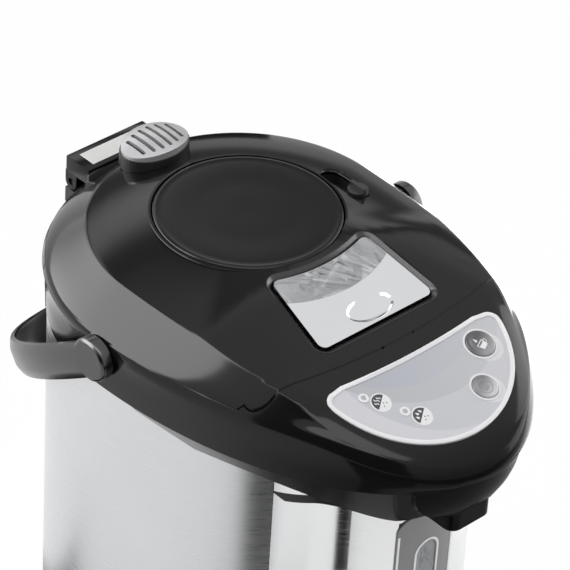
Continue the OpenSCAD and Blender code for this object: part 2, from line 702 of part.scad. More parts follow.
spout_w = 14.5;
spout_front = chin_reach - 5;
spout_z = collar_z - 35;
nose_z = collar_z - 24;
module chin(inset) hull() {
    for (i = [-4:4]) let (x = (38 - inset) * i / 4)
        translate([x, -sqrt(1 - pow(x / (foot_edge_r - inset), 2)) * (chin_reach - inset) + 0.5, collar_z - 2.5])
            cylinder(r = 0.5, h = 2.5, $fn = 8);
    for (s = [-1, 1]) translate([s * (spout_w - inset - 3), -spout_front + 3 + inset, nose_z + inset * 0.7])
        cylinder(r = 3, h = 1, $fn = 16);
    translate([-spout_w + inset, -column_y + 8, spout_z + inset - 5]) cube([2 * (spout_w - inset), 1, 1]);
    translate([-28 + inset, -column_y + 8, collar_z - 3]) cube([56 - 2 * inset, 1, 3]);
}
module spout_block(inset, z) translate([0, 0, z]) linear_extrude(collar_z - 12 - z) {
    r = 6;
    translate([-spout_w + inset, -spout_front + r + inset]) square([2 * (spout_w - inset), 30]);
    translate([-spout_w + r, -spout_front + inset]) square([2 * (spout_w - r), 30]);
    for (s = [-1, 1]) translate([s * (spout_w - r), -spout_front + r]) circle(r - inset);
}

nozzle_y = -(spout_front - 14);
nozzle_r = 6.5;
module spout_cover() color("#0e0e10") difference() {
    union() {
        belly_solid(0, 0);
        chin(0);
        spout_block(0, spout_z);
    }
    difference() {
        belly_solid(3, 0.6);
        translate([-spout_w - 0.1, -chin_reach, 0]) cube([2 * spout_w + 0.2, chin_reach - column_y - 1, spout_z + 1]);
    }
    chin(3);
    spout_block(wall_t, spout_z + wall_t);
    translate([0, 0, collar_z - 80]) cylinder(r = body_r + gap, h = 90);
    translate([0, 0, collar_z - 80]) linear_extrude(90) column_plan(0.4);
    translate([-200, -30, collar_z - 80]) cube([400, 300, 100]);
    translate([0, nozzle_y, spout_z - 1]) cylinder(r = nozzle_r + gap, h = 20);
}

module spout_nozzle() color("#2a2a2d") translate([0, nozzle_y, 0]) difference() {
    union() {
        translate([0, 0, spout_z + 0.5]) cylinder(r1 = nozzle_r - 1, r2 = nozzle_r, h = 3);
        translate([0, 0, spout_z + wall_t + gap]) cylinder(r = nozzle_r + 2.5, h = 2);
        translate([0, 0, spout_z + 3]) cylinder(r = port_r, h = 10);
    }
    translate([0, 0, spout_z - 1]) cylinder(r = port_bore, h = 20);
}

module spout_hose() color("#cfd3d6") {
    high = spout_z + 24;
    hose(rounded([[0, gauge_y, window_top + 27 + gap], [0, gauge_y, high], [0, nozzle_y, high],
                  [0, nozzle_y, spout_z + 13 + gap]], 9), hose_r, hose_bore, [1, 0, 0]);
}

module latch_strike() color("#b0b2b5")
    translate([-14, -seam_y - gap - wall_t - 1.3, seam_z + 0.5]) difference() {
        cube([28, 1.2, 8]);
        translate([3, -1, 1.4]) cube([22, 4, 3.2]);
    }

// ---- control panel ----
module control_panel() color("#b6b7bd") on_deck() difference() {
    translate([0, 0, -panel_t]) linear_extrude(panel_t) panel_plan(0);
    translate([button_1.x, button_1.y, -9]) cylinder(r = dispense_r + gap, h = 18);
    translate([button_2.x, button_2.y, -9]) cylinder(r = unlock_r + gap, h = 18);
    for (p = [lamp_1, lamp_2]) translate([p.x, p.y, -9]) cylinder(r = lamp_r + 0.1, h = 18);
}

module panel_border() color("#f2f2f2") on_deck() linear_extrude(0.4) difference() {
    panel_plan(0);
    panel_plan(-border_w);
}

module button(p, r) on_deck() translate([p.x, p.y, 0]) difference() {
    union() {
        translate([0, 0, -skin_t - gap - 1]) cylinder(r = r, h = skin_t + gap + 1.6);
        translate([0, 0, 0.6 - eps]) cylinder(r1 = r, r2 = r - 0.5, h = 0.5);
        translate([0, 0, -skin_t - gap - 1.4]) cylinder(r = r + 1.4, h = 1.4);
    }
    translate([0, 0, 15.2]) sphere(r = 15);
    translate([0, 0, -skin_t - gap - 2]) cylinder(r = r - 2, h = skin_t);
}
module dispense_button() color("#8a8b90") button(button_1, dispense_r);
module unlock_button() color("#c9cacd") button(button_2, unlock_r);

module indicator_lenses() color("#f7f7f7") on_deck() for (p = [lamp_1, lamp_2])
    translate([p.x, p.y, -board_depth + 1.9 + gap]) cylinder(r = lamp_r, h = board_depth - 1.7 - gap);

module control_board() color("#2f6b3a") on_deck() translate([0, 0, -board_depth]) {
    difference() {
        translate([0, 0, -1.6]) linear_extrude(1.6) panel_plan(-7);
        for (p = post_at) translate([p.x, p.y, -3]) cylinder(r = 0.9, h = 6);
    }
    for (p = [button_1, button_2]) translate([p.x - 3, p.y - 3, -eps]) cube([6, 6, 1.8]);
    for (p = [lamp_1, lamp_2]) translate([p.x, p.y, -eps]) cylinder(r = 1.8, h = 1.8);
    translate([-12, -34, -4.5]) cube([20, 14, 3]);
}

// ---- rear hinge and bail pivots ----
bracket_z = hinge_z - 15;
module hinge_bracket() color("#161618") difference() {
    union() {
        translate([-hinge_w, body_r - 4, bracket_z]) cube([2 * hinge_w, 16, hinge_z - 5.5 - bracket_z]);
        translate([-knuckle_x, hinge_y - knuckle_r, bracket_z]) cube([2 * knuckle_x, 2 * knuckle_r, hinge_z - bracket_z]);
        translate([-knuckle_x, hinge_y, hinge_z]) rotate([0, 90, 0]) cylinder(r = knuckle_r, h = 2 * knuckle_x);
    }
    translate([0, 0, bracket_z - 1]) cylinder(r = head_r + gap, h = 40);
    for (s = [-1, 1]) translate([s > 0 ? knuckle_x + gap - 0.2 : -hinge_w - 5, hinge_y, hinge_z]) rotate([0, 90, 0])
        cylinder(r = knuckle_r + 0.8, h = hinge_w + 5.2 - knuckle_x - gap);
    translate([-hinge_w - 5, hinge_y, hinge_z]) rotate([0, 90, 0]) cylinder(r = hinge_pin_d / 2 + run, h = 2 * hinge_w + 10);
}

module hinge_pin() color("#c4c6c9")
    translate([-hinge_w + 2, hinge_y, hinge_z]) rotate([0, 90, 0]) cylinder(r = hinge_pin_d / 2, h = 2 * hinge_w - 4);

module bail_pins() color("#1c1c1e") for (s = [-1, 1])
    translate([s * (head_r - 4), bail_y, bail_z]) rotate([0, s * 90, 0])
        cylinder(r = bail_pin_d / 2 - run, h = bail_w + bail_t / 2 - 1.4 - head_r + 4);

// ---- lid ----
well_r = disc_r + 0.7;
lever_y = -57.3;
lever_tilt = atan((deck(lever_y) - deck(lever_y - lever_len * 0.96)) / (lever_len * 0.96));
module on_lever() translate([0, lever_y, deck(lever_y) - 0.3]) rotate([lever_tilt, 0, 0]) children();

// Lever outline grown by g: a trapezoid with round corners
lever_corner = 5;
function corner_arc(c, r, a0, a1) = [for (k = [0:4]) let (a = a0 + (a1 - a0) * k / 4) c + r * [cos(a), sin(a)]];
module lever_plan(g) {
    r = lever_corner + g;
    flare = atan((lever_front - lever_rear) / lever_len);
    fx = lever_front - lever_corner;
    rx = lever_rear - lever_corner;
    polygon(concat(corner_arc([fx, -lever_len + lever_corner], r, -90, flare),
                   corner_arc([rx, -lever_corner], r, flare, 90),
                   corner_arc([-rx, -lever_corner], r, 90, 180 - flare),
                   corner_arc([-fx, -lever_len + lever_corner], r, 180 - flare, 270)));
}

lock_x = 60;
lock_y0 = -20;
lock_slot_r = knob_r + 0.9;
module lock_slot(r, h) linear_extrude(h) {
    for (y = [lock_y0, lock_y0 + lock_travel]) translate([lock_x, y]) circle(r);
    translate([lock_x - r, lock_y0]) square([2 * r, lock_travel]);
}

vent_y = 75;
vent_a = 20.5;
vent_b = 14;
vent_base = top_z - 7;
function oval(a, b, n) = [for (i = [0:n - 1]) [a * cos(360 * i / n), b * sin(360 * i / n)]];

hinge_box_y = body_r - 9;
hinge_box_top = seam_z + 12;
module lid_shell() color("#141416") difference() {
    union() {
        difference() {
            intersection() {
                skin_outer();
                lid_zone(0, seam_z);
            }
            intersection() {
                skin_inner();
                lid_zone(-wall_t, seam_z - 1);
            }
        }
        intersection() {
            skin_outer();
            translate([0, 0, top_z - 22]) tube(well_r + 1.2, well_r, 40);
        }
        // hinge box and its two knuckles
        difference() {
            union() {
                translate([-hinge_w, hinge_box_y, hinge_z + 5]) cube([2 * hinge_w, body_r + 12 - hinge_box_y, hinge_box_top - hinge_z - 5]);
                for (s = [-1, 1]) translate([s > 0 ? knuckle_x + gap : -hinge_w, 0, 0]) {
                    translate([0, hinge_y, hinge_z]) rotate([0, 90, 0]) cylinder(r = knuckle_r, h = hinge_w - knuckle_x - gap);
                    translate([0, hinge_y - knuckle_r, hinge_z]) cube([hinge_w - knuckle_x - gap, 2 * knuckle_r, 6]);
                }
            }
            translate([-200, 0, seam_z - 1]) intersection() {
                translate([200, 0, -seam_z + 1]) skin_inner();
                cube([400, 200, 80]);
            }
            cylinder(r = head_r + 0.2, h = seam_z);
        }
    }
    translate([0, 0, seam_z - 1]) cylinder(r = well_r, h = 60);
    on_lever() translate([0, 0, -16]) linear_extrude(40) lever_plan(3.2);
    translate([0, 0, seam_z + 10]) lock_slot(lock_slot_r, 40);
    translate([0, vent_y, seam_z + 6]) linear_extrude(40) polygon(oval(vent_a - 3, vent_b - 3, 48));
    translate([-hinge_w - 5, hinge_y, hinge_z]) rotate([0, 90, 0]) cylinder(r = hinge_pin_d / 2 + run, h = 2 * hinge_w + 10);
    translate([-12.5, -seam_y - 3, seam_z + 1.5]) cube([25, 10, 4.2]);
}

// Tray under the lever; its rim shows as a narrow frame
tray_depth = 11;
pin_in = 3;
pin_down = 6;
lever_pin_r = 1.3;
lever_eye_r = 2.6;
module lever_tray() color("#5a5b5e") on_lever() difference() {
    translate([0, 0, -tray_depth]) linear_extrude(tray_depth + 0.5) lever_plan(3);
    translate([0, 0, -tray_depth + 1.5]) linear_extrude(tray_depth + 2) lever_plan(0);
    translate([-60, -pin_in, -pin_down]) rotate([0, 90, 0]) cylinder(r = lever_pin_r + run, h = 120);
}

module lever_pin() color("#c4c6c9") on_lever()
    translate([-lever_rear - 2, -pin_in, -pin_down]) rotate([0, 90, 0]) cylinder(r = lever_pin_r, h = 2 * lever_rear + 4);

scoop_r = 26;
scoop_up = 21.5;
module lid_lever() color("#e6e8ea") on_lever() difference() {
    union() {
        difference() {
            translate([0, 0, -2.4]) linear_extrude(2.4) lever_plan(-0.9);
            translate([-60, -14, scoop_up]) rotate([0, 90, 0]) cylinder(r = scoop_r, h = 120);
        }
        intersection() {
            translate([0, 0, -8]) linear_extrude(8) lever_plan(-0.9);
            translate([-60, -14, scoop_up]) rotate([0, 90, 0]) difference() {
                cylinder(r = scoop_r + 2.4, h = 120);
                translate([0, 0, -1]) cylinder(r = scoop_r, h = 122);
            }
        }
        for (s = [-1, 1]) translate([s * 24 - 2, -pin_in, -pin_down]) {
            rotate([0, 90, 0]) cylinder(r = lever_eye_r, h = 4);
            translate([0, -lever_eye_r, 0]) cube([4, 4, 4]);
        }
    }
    translate([0, -lever_len + 10, -0.8]) linear_extrude(5) polygon(oval(13, 7.5, 40));
    translate([-60, -pin_in, -pin_down]) rotate([0, 90, 0]) cylinder(r = lever_pin_r + run, h = 120);
}

module latch_bolt() color("#a9abae") {
    difference() {
        translate([-10, -seam_y + 0.4, seam_z + 1.8]) cube([20, 31, 3.2]);
        translate([-6, -seam_y + 9, seam_z]) cube([12, 15, 9]);
    }
}

// Lid lining: a shallow tub that carries the inner lid and the bellows
liner_r = throat_r - 3.5;
liner_z = rim_z + 6.3;
module lid_liner() color("#3b3c3f") difference() {
    union() {
        translate([0, 0, liner_z]) cylinder(r = liner_r, h = 2);
        translate([0, 0, liner_z]) tube(liner_r, liner_r - 2, seam_z + 1.5 - liner_z);
        translate([0, 0, seam_z]) tube(liner_r + 9, liner_r - 1, 1.5);
    }
    translate([0, 0, liner_z - 1]) cylinder(r = 9, h = 5);
    translate([0, vent_y, liner_z - 1]) cylinder(r = 4, h = 5);
}

module inner_lid() color("#c2c6ca") difference() {
    union() {
        translate([0, 0, liner_z - 1.3]) cylinder(r = liner_r - 4.5, h = 1);
        translate([0, 0, liner_z - 4]) tube(liner_r - 12, liner_r - 13, 3);
    }
    for (a = [0:45:315]) rotate([0, 0, a]) translate([20, 0, liner_z - 6]) cylinder(r = 2, h = 9);
    for (x = [-6, 0, 6]) translate([x, vent_y - 4, liner_z - 6]) cylinder(r = 1.5, h = 9);
}

module lid_seal() color("#cbc7bd") rotate_extrude() polygon([
    [liner_r - 4, liner_z - 0.05], [liner_r - 4, liner_z - 2.5], [liner_r - 3, rim_z + gap + 1],
    [liner_r - 1, rim_z + gap], [liner_r - 0.5, rim_z + gap], [liner_r - 1, rim_z + gap + 2],
    [liner_r - 0.8, liner_z - 0.05]]);

// ---- hand pump ----
disc_dish = 0.8;
disc_skirt = 16;
bellows_z = liner_z + 2 + gap;
bellows_top = top_z - 3.9 - gap;
module pump_disc() color("#18181a") rotate_extrude() polygon(concat(
    [[0, top_z - 3.9], [disc_r - 2.2, top_z - 3.9], [disc_r - 2.2, top_z - disc_skirt],
     [disc_r, top_z - disc_skirt], [disc_r, top_z - 0.9], [disc_r - 0.3, top_z - 0.3], [disc_r - 1, top_z]],
    [for (k = [7:-1:0]) let (x = (disc_r - 3) * k / 7) [x, top_z - disc_dish * (1 - pow(x / (disc_r - 3), 2)) - 0.2]]));

// Half section of the bellows: a folded wall between two flat ends
module bellows() color("#dcd8cd") {
    h = (bellows_top - bellows_z - 3) / bellows_folds;
    outer = [for (k = [0:bellows_folds - 1])
        each [[bellows_r - 6, bellows_z + 1.5 + k * h], [bellows_r, bellows_z + 1.5 + (k + 0.5) * h]]];
    inner = [for (k = [bellows_folds - 1:-1:0])
        each [[bellows_r - 1.4, bellows_z + 1.5 + (k + 0.5) * h], [bellows_r - 7.4, bellows_z + 1.5 + k * h]]];
    rotate_extrude() polygon(concat(
        [[9, bellows_z], [bellows_r - 6, bellows_z]], outer,
        [[bellows_r - 6, bellows_top - 1.5], [bellows_r - 6, bellows_top], [0.5, bellows_top],
         [0.5, bellows_top - 1.5], [bellows_r - 7.4, bellows_top - 1.5]], inner,
        [[9, bellows_z + 1.5]]));
}

module pump_spring() color("#b9bbbe")
    coil(19, 1.1, bellows_z + 1.5 + gap, bellows_top - 1.5 - gap, 6);

lock_z = top_z - 13.5;
module lock_tray() color("#1e1e20") difference() {
    intersection() {
        translate([0, 0, lock_z - 1.5]) lock_slot(lock_slot_r + 1.1, 14);
        translate([0, 0, -gap]) skin_inner();
    }
    translate([0, 0, lock_z]) lock_slot(lock_slot_r, 14);
}

module lock_knob() color("#27272a") translate([lock_x, lock_y0, 0]) difference() {
    union() {
        translate([0, 0, lock_z + gap]) cylinder(r = knob_r + 0.5, h = 2.5);
        translate([0, 0, lock_z + 1]) cylinder(r = knob_r, h = top_z + 0.4 - lock_z);
    }
    for (s = [-1, 1]) translate([s > 0 ? 1.1 : -knob_r - 2, -knob_r - 1, top_z - 1]) cube([knob_r + 0.9, 2 * knob_r + 2, 5]);
}

// ---- steam vent ----
module vent_housing() color("#0f0f11") difference() {
    union() {
        translate([0, vent_y, vent_base]) linear_extrude(8) polygon(oval(vent_a + 0.8, vent_b + 0.8, 48));
        translate([0, vent_y, seam_z + 9]) linear_extrude(vent_base - seam_z - 8) polygon(oval(vent_a - 3.4, vent_b - 3.4, 48));
        translate([0, vent_y, liner_z + 2 + gap]) cylinder(r = 7, h = seam_z + 10 - liner_z - 2);
    }
    translate([0, vent_y, seam_z + 11]) linear_extrude(40) polygon(oval(vent_a - 5.4, vent_b - 5.4, 48));
    translate([0, vent_y, liner_z]) cylinder(r = 5, h = 60);
    intersection() {
        skin_outer();
        difference() {
            translate([-40, vent_y - 30, vent_base - 1]) cube([80, 60, 40]);
            translate([0, vent_y, vent_base - 2]) linear_extrude(60) polygon(oval(vent_a - 3.4, vent_b - 3.4, 48));
        }
    }
}

module vent_cap() color("#b4b5b8") difference() {
    intersection() {
        translate([0, vent_y, vent_base + 8 + 0.05]) linear_extrude(6) polygon(oval(vent_a, vent_b, 60));
        translate([0, vent_y, vent_base + 13.4 - 60]) sphere(r = 60, $fn = 120);
    }
    translate([0, vent_y, vent_base + 7]) linear_extrude(3) polygon(oval(vent_a - 2.5, vent_b - 2.5, 48));
    pitch = 2 * (vent_a - 4.5) / vent_slots;
    for (i = [0:vent_slots - 1]) let (x = (i - (vent_slots - 1) / 2) * pitch,
        half = vent_b * sqrt(1 - pow(x / vent_a, 2)) - 4.2)
        translate([x, vent_y, vent_base + 5]) {
            translate([-vent_slot_w / 2, -half]) cube([vent_slot_w, 2 * half, 20]);
            for (s = [-1, 1]) translate([0, s * half, 0]) cylinder(r = vent_slot_w / 2, h = 20, $fn = 24);
        }
}

// ---- carrying bail ----
bail_steps = 34;
// Point and outward normal of the bail's middle line at parameter t from 0 to 180
function bail_mid(t) = let (n = 2.6, c = cos(t), s = sin(t),
    x = bail_w * sign(c) * pow(abs(c), 2 / n), q = bail_reach * pow(abs(s), 2 / n)) [x, q];
function bail_normal(t) = let (a = bail_mid(max(t - 1, 0)), b = bail_mid(min(t + 1, 180)), d = b - a)
    unit([d.y, -d.x]);
// Section of the band: out from the body, and across the band
bail_section = [[0.5, -0.25], [0.5, 0.25], [0.15, 0.5], [-0.3, 0.5], [-0.42, 0.4], [-0.42, -0.4], [-0.3, -0.5], [0.15, -0.5]];
module bail_band() {
    m = len(bail_section);
    rings = [for (k = [0:bail_steps]) let (t = 180 * k / bail_steps, p = bail_mid(t), n = bail_normal(t))
        [for (c = bail_section) [p.x + n.x * c[0] * bail_t, p.y + n.y * c[0] * bail_t, c[1] * bail_h]]];
    sides = [for (j = [0:bail_steps - 1], i = [0:m - 1])
        let (a = j * m + i, b = j * m + (i + 1) % m) each [[a, b, a + m], [b, b + m, a + m]]];
    ends = [[for (i = [m - 1:-1:0]) i], [for (i = [0:m - 1]) bail_steps * m + i]];
    polyhedron([for (ring = rings) each ring], concat(sides, ends));
}
knuckle_disc = bail_h / 2 + 2.3;
module carry_bail() color("#1a1a1c") translate([0, bail_y, bail_z]) rotate([-bail_droop, 0, 0]) difference() {
    union() {
        bail_band();
        for (s = [-1, 1]) translate([s * (bail_w - bail_t / 2), 0, 0]) rotate([0, s * 90, 0])
            rotate_extrude() polygon([[0, 0], [knuckle_disc, 0], [knuckle_disc, bail_t - 1],
                                      [knuckle_disc - 1.7, bail_t + 0.7], [0, bail_t + 0.7]]);
    }
    for (s = [-1, 1]) translate([s * (bail_w - bail_t / 2 - 5), 0, 0]) rotate([0, s * 90, 0])
        cylinder(r = bail_pin_d / 2, h = 5 + bail_t - 1.2);
}

swivel_stand();
rubber_feet();
base_housing();
bottom_cover();
swivel_retainer();
base_screws();
power_board();
power_inlet();
heater_plate();
thermostats();
pump_housing();
rotor_pin();
pump_rotor();
pump_motor();
inlet_hose();
outlet_hose();
outer_shell();
front_column();
gauge_trim();
gauge_window();
level_tube();
lower_joint();
upper_joint();
inner_pot();
rim_gasket();
head_housing();
spout_cover();
spout_nozzle();
spout_hose();
latch_strike();
control_panel();
panel_border();
dispense_button();
unlock_button();
indicator_lenses();
control_board();
hinge_bracket();
hinge_pin();
bail_pins();
lid_shell();
lever_tray();
lever_pin();
lid_lever();
latch_bolt();
lid_liner();
inner_lid();
lid_seal();
pump_disc();
bellows();
pump_spring();
lock_tray();
lock_knob();
vent_housing();
vent_cap();
carry_bail();
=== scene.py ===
import bmesh
import bpy
import math
from mathutils import Matrix, Vector


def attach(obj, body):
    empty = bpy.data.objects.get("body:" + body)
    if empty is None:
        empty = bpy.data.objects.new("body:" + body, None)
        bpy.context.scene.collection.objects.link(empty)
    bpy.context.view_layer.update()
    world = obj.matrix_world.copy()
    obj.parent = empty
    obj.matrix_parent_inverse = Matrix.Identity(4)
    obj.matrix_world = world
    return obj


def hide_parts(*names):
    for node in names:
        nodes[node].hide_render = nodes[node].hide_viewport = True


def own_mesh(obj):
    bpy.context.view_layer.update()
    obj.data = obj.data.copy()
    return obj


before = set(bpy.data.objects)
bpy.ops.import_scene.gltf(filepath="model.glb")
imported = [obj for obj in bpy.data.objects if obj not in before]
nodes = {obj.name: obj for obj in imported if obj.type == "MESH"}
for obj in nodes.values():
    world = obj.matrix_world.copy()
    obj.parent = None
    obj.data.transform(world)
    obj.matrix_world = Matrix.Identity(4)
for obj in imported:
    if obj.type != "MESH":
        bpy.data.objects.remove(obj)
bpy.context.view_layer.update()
print("frame loaded")

# ---- camera and light ----
cameraView = {
    "place": (-1.091963, -1.149018, 1.511078),
    "right": (0.740377, -0.670299, 0.050412),
    "up": (0.373155, 0.472228, 0.798596),
    "back": (-0.559104, -0.572450, 0.599752),
    "lens": 236.5,
}
# each lamp: where it stands, what it looks at, width and height, watts
lamps = {
    "leftRearBox": ((-1.5, 1.35, 1.75), (0, 0, 0.33), 1.5, 1.5, 36),
    "overheadBox": ((0.9, 0.25, 1.9), (0, -0.05, 0.33), 1.0, 0.9, 8),
    "frontLeftBox": ((-1.3, -1.7, 0.9), (0, 0, 0.25), 1.2, 1.0, 7),
    "rightBox": ((1.9, -0.5, 0.9), (0, -0.05, 0.28), 0.9, 1.2, 12),
}


def upright(a, b, low, high):  # a card standing on the line from a to b
    return [(*a, low), (*b, low), (*b, high), (*a, high)]


def level(a, b, z):  # a card lying flat between two opposite corners
    return [(a[0], a[1], z), (b[0], a[1], z), (b[0], b[1], z), (a[0], b[1], z)]


# cards seen only in reflections: glow, four corners and how the glow fades over the card
cards = {
    "leftRearCard": (8.5, [(0.35, 2.3, 0.35), (-2.1, 0.75, 0.5), (-1.7, 0.3, 2.1), (0.3, 1.8, 2.2)],
                     lambda x, y, z: 0.2 + 0.8 * x.under(-0.4, 0.5)),
    "leftTopCard": (3.6, [(-1.9, -0.1, 2), (-0.8, 0.4, 2), (0.35, -1.2, 2), (-0.4, -2.0, 2)], None),
    "lidCard": (2.4, level((-0.6, 0.5), (5, 5), 1.2),
                lambda x, y, z: 0.08 + 0.3 * y.under(0.62, 0.1) + 0.3 * (x + y).over(4.6, 0.8)
                + 0.75 * y.over(0.94, 0.13) * y.under(1.5, 0.35) * x.under(1.5, 0.5)),
    "rightCard": (3.6, level((0.36, -0.35), (1.1, 0.6), 0.004), None),
    "rightWall": (4.0, upright((1.1, -1.0), (1.1, 0.3), 0.1, 1.1),
                  lambda x, y, z: 0.2 + 0.8 * y.under(0.0, 0.3)),
    "bandCard": (0.0, upright((-0.17, -0.215), (-0.085, -0.262), 0, 0.3), None),
    "frontDark": (0.0, upright((-1.9, -0.15), (-1.0, -2.2), 0, 1.4), None),
    "edgeCard": (0.0, upright((0.29, 0.28), (0.1, 0.4), 0, 0.4), None),
    "chinCard": (0.0, [(-0.9, -1.7, 0.004), (1.3, -1.7, 0.004), (1.1, -0.6, 0.004), (-0.7, -0.6, 0.004)],
                 None),
    # painted shade: a dark sheet on the floor under the pot, seen only in reflections, standing in for the
    # pot's shadow there
    "underCard": (0.0, level((-0.2, -0.2), (0.2, 0.2), 0.003), None),
}
surround = {"diffuse": 0.42, "seen": 1.0, "floorGlow": 0.9}


def makeCamera(view):
    data = bpy.data.cameras.new("camera")
    data.lens = view["lens"]
    data.sensor_width = 36
    data.clip_end = 50
    camera = linked("camera", data)
    columns = [Vector(view[key]).normalized() for key in ("right", "up", "back")]
    turn = Matrix((columns[0], columns[1], columns[2])).transposed().to_4x4()
    camera.matrix_world = Matrix.Translation(Vector(view["place"])) @ turn
    bpy.context.scene.camera = camera


def makeLamp(name, place, target, wide, high, watts):
    data = bpy.data.lights.new(name, "AREA")
    data.shape = "RECTANGLE"
    data.size = wide
    data.size_y = high
    data.energy = watts
    lamp = linked(name, data)
    lamp.location = place
    lamp.rotation_euler = (Vector(target) - Vector(place)).to_track_quat("-Z", "Y").to_euler()
    lamp.visible_glossy = False
    lamp.visible_camera = False


# ---- shader maths ----
class Amount:  # a number that varies over a surface
    def __init__(self, shader, socket):
        self.shader = shader
        self.socket = socket

    def do(self, operation, first, second=0.0):
        return self.shader.add("ShaderNodeMath", {"operation": operation}, (first, second))

    def __add__(self, other):
        return self.do("ADD", self, other)

    __radd__ = __add__

    def __sub__(self, other):
        return self.do("SUBTRACT", self, other)

    def __rsub__(self, other):
        return self.do("SUBTRACT", other, self)

    def __mul__(self, other):
        return self.do("MULTIPLY", self, other)

    __rmul__ = __mul__

    def __truediv__(self, other):
        return self.do("DIVIDE", self, other)

    def __pow__(self, other):
        return self.do("POWER", self, other)

    def over(self, edge, soft=0.00008):  # 0 below the edge, 1 above it
        return self.shader.add("ShaderNodeMapRange", {"interpolation_type": "SMOOTHSTEP"},
                               {"Value": self, "From Min": edge - soft, "From Max": edge + soft})

    def under(self, edge, soft=0.00008):
        return 1 - self.over(edge, soft)


socketNames = {
    "colour": "Base Color", "roughness": "Roughness", "metallic": "Metallic", "coat": "Coat Weight",
    "coatRoughness": "Coat Roughness", "coatIor": "Coat IOR", "specular": "Specular IOR Level", "ior": "IOR",
    "transmission": "Transmission Weight", "normal": "Normal",
}


class Shader:
    def __init__(self, name, **constants):
        self.material = bpy.data.materials.new(name)
        self.material.use_nodes = True
        self.tree = self.material.node_tree
        self.surface = self.tree.nodes["Principled BSDF"]
        self.set(**constants)
        self.place = self.add("ShaderNodeTexCoord", output="Object")

    def set(self, **values):
        for key, value in values.items():
            self.feed(self.surface.inputs[socketNames[key]], value)

    def feed(self, socket, value):
        if isinstance(value, Amount):
            self.tree.links.new(value.socket, socket)
        elif isinstance(value, tuple) and len(value) == 3 and len(socket.default_value) == 4:
            socket.default_value = (*value, 1)
        else:
            socket.default_value = value

    def add(self, kind, settings=None, inputs=(), output=0):
        node = self.tree.nodes.new(kind)
        for key, value in (settings or {}).items():
            setattr(node, key, value)
        pairs = inputs.items() if isinstance(inputs, dict) else enumerate(inputs)
        for key, value in pairs:
            self.feed(node.inputs[key], value)
        return Amount(self, node.outputs[output])

    def stretched(self, scale):
        return self.add("ShaderNodeVectorMath", {"operation": "MULTIPLY"}, (self.place, scale))

    def noise(self, scale, detail=2.0, where=None):
        inputs = {"Vector": where or self.place, "Scale": scale, "Detail": detail}
        return self.add("ShaderNodeTexNoise", {}, inputs, output="Fac")

    def mix(self, mask, low, high):
        return self.add("ShaderNodeMix", {"data_type": "RGBA"}, {0: mask, 6: low, 7: high}, output=2)

    def axes(self):
        split = self.tree.nodes.new("ShaderNodeSeparateXYZ")
        self.tree.links.new(self.place.socket, split.inputs[0])
        return [Amount(self, split.outputs[i]) for i in range(3)]

    def bump(self, height, depth, strength=1.0):
        inputs = {"Height": height, "Distance": depth, "Strength": strength}
        self.set(normal=self.add("ShaderNodeBump", {}, inputs))


def shift(colour, share):
    return tuple(min(1, c * share) for c in colour)


# mottled colour, uneven gloss and a fine moulded grain
def plastic(name, colour, roughness, grain=0.3, depth=0.00002, vary=0.25, **constants):
    shader = Shader(name, **constants)
    cloud = shader.noise(28, 3)
    speck = shader.noise(900, 2)
    shader.set(colour=shader.mix(cloud * 0.7 + speck * 0.3, shift(colour, 1 - vary), shift(colour, 1 + vary)),
               roughness=roughness + (cloud - 0.5) * roughness * 0.5 + (speck - 0.5) * roughness * 0.3)
    shader.bump(shader.noise(1 / (grain * 0.001), 3) + 0.25 * shader.noise(260, 2), depth)
    return shader.material


# the gloss is a clear skin over a dull base, thinner low down at the front
def glossPaint(name, colour, roughness):
    shader = Shader(name, roughness=0.5, specular=0.02)
    x, y, z = shader.axes()
    cloud = shader.noise(26, 3)
    speck = shader.noise(900, 2)
    shader.set(colour=shader.mix(cloud * 0.7 + speck * 0.3, shift(colour, 0.8), shift(colour, 1.2)))
    low = y.under(-0.11, 0.05) * z.under(0.328, 0.012) * x.under(0.055, 0.04)
    shader.set(coat=1 - 0.85 * low, coatIor=1.33, coatRoughness=roughness)
    shader.bump(shader.noise(700, 3) + 0.25 * shader.noise(260, 2), 0.0000025)
    return shader.material


def metal(name, colour, roughness, stretch, scale, depth, **constants):
    shader = Shader(name, metallic=1.0, **constants)
    streak = shader.noise(scale, 4, shader.stretched(stretch))
    fine = shader.noise(scale * 3.1, 2, shader.stretched(stretch))
    cloud = shader.noise(14, 3)
    shader.set(colour=shader.mix(streak * 0.6 + cloud * 0.4, shift(colour, 0.86), shift(colour, 1.1)),
               roughness=roughness + (streak - 0.5) * 0.16 + (fine - 0.5) * 0.1 + (cloud - 0.5) * 0.06)
    shader.bump(streak * 0.7 + fine * 0.3, depth)
    return shader.material


deckFoot = {"y": -0.118, "z": 0.35269, "tilt": 19.3}


def deckAxes(shader):  # across the panel and up its slope, in metres from its foot
    x, y, z = shader.axes()
    tilt = math.radians(deckFoot["tilt"])
    return x, (y - deckFoot["y"]) * math.cos(tilt) + (z - deckFoot["z"]) * math.sin(tilt)
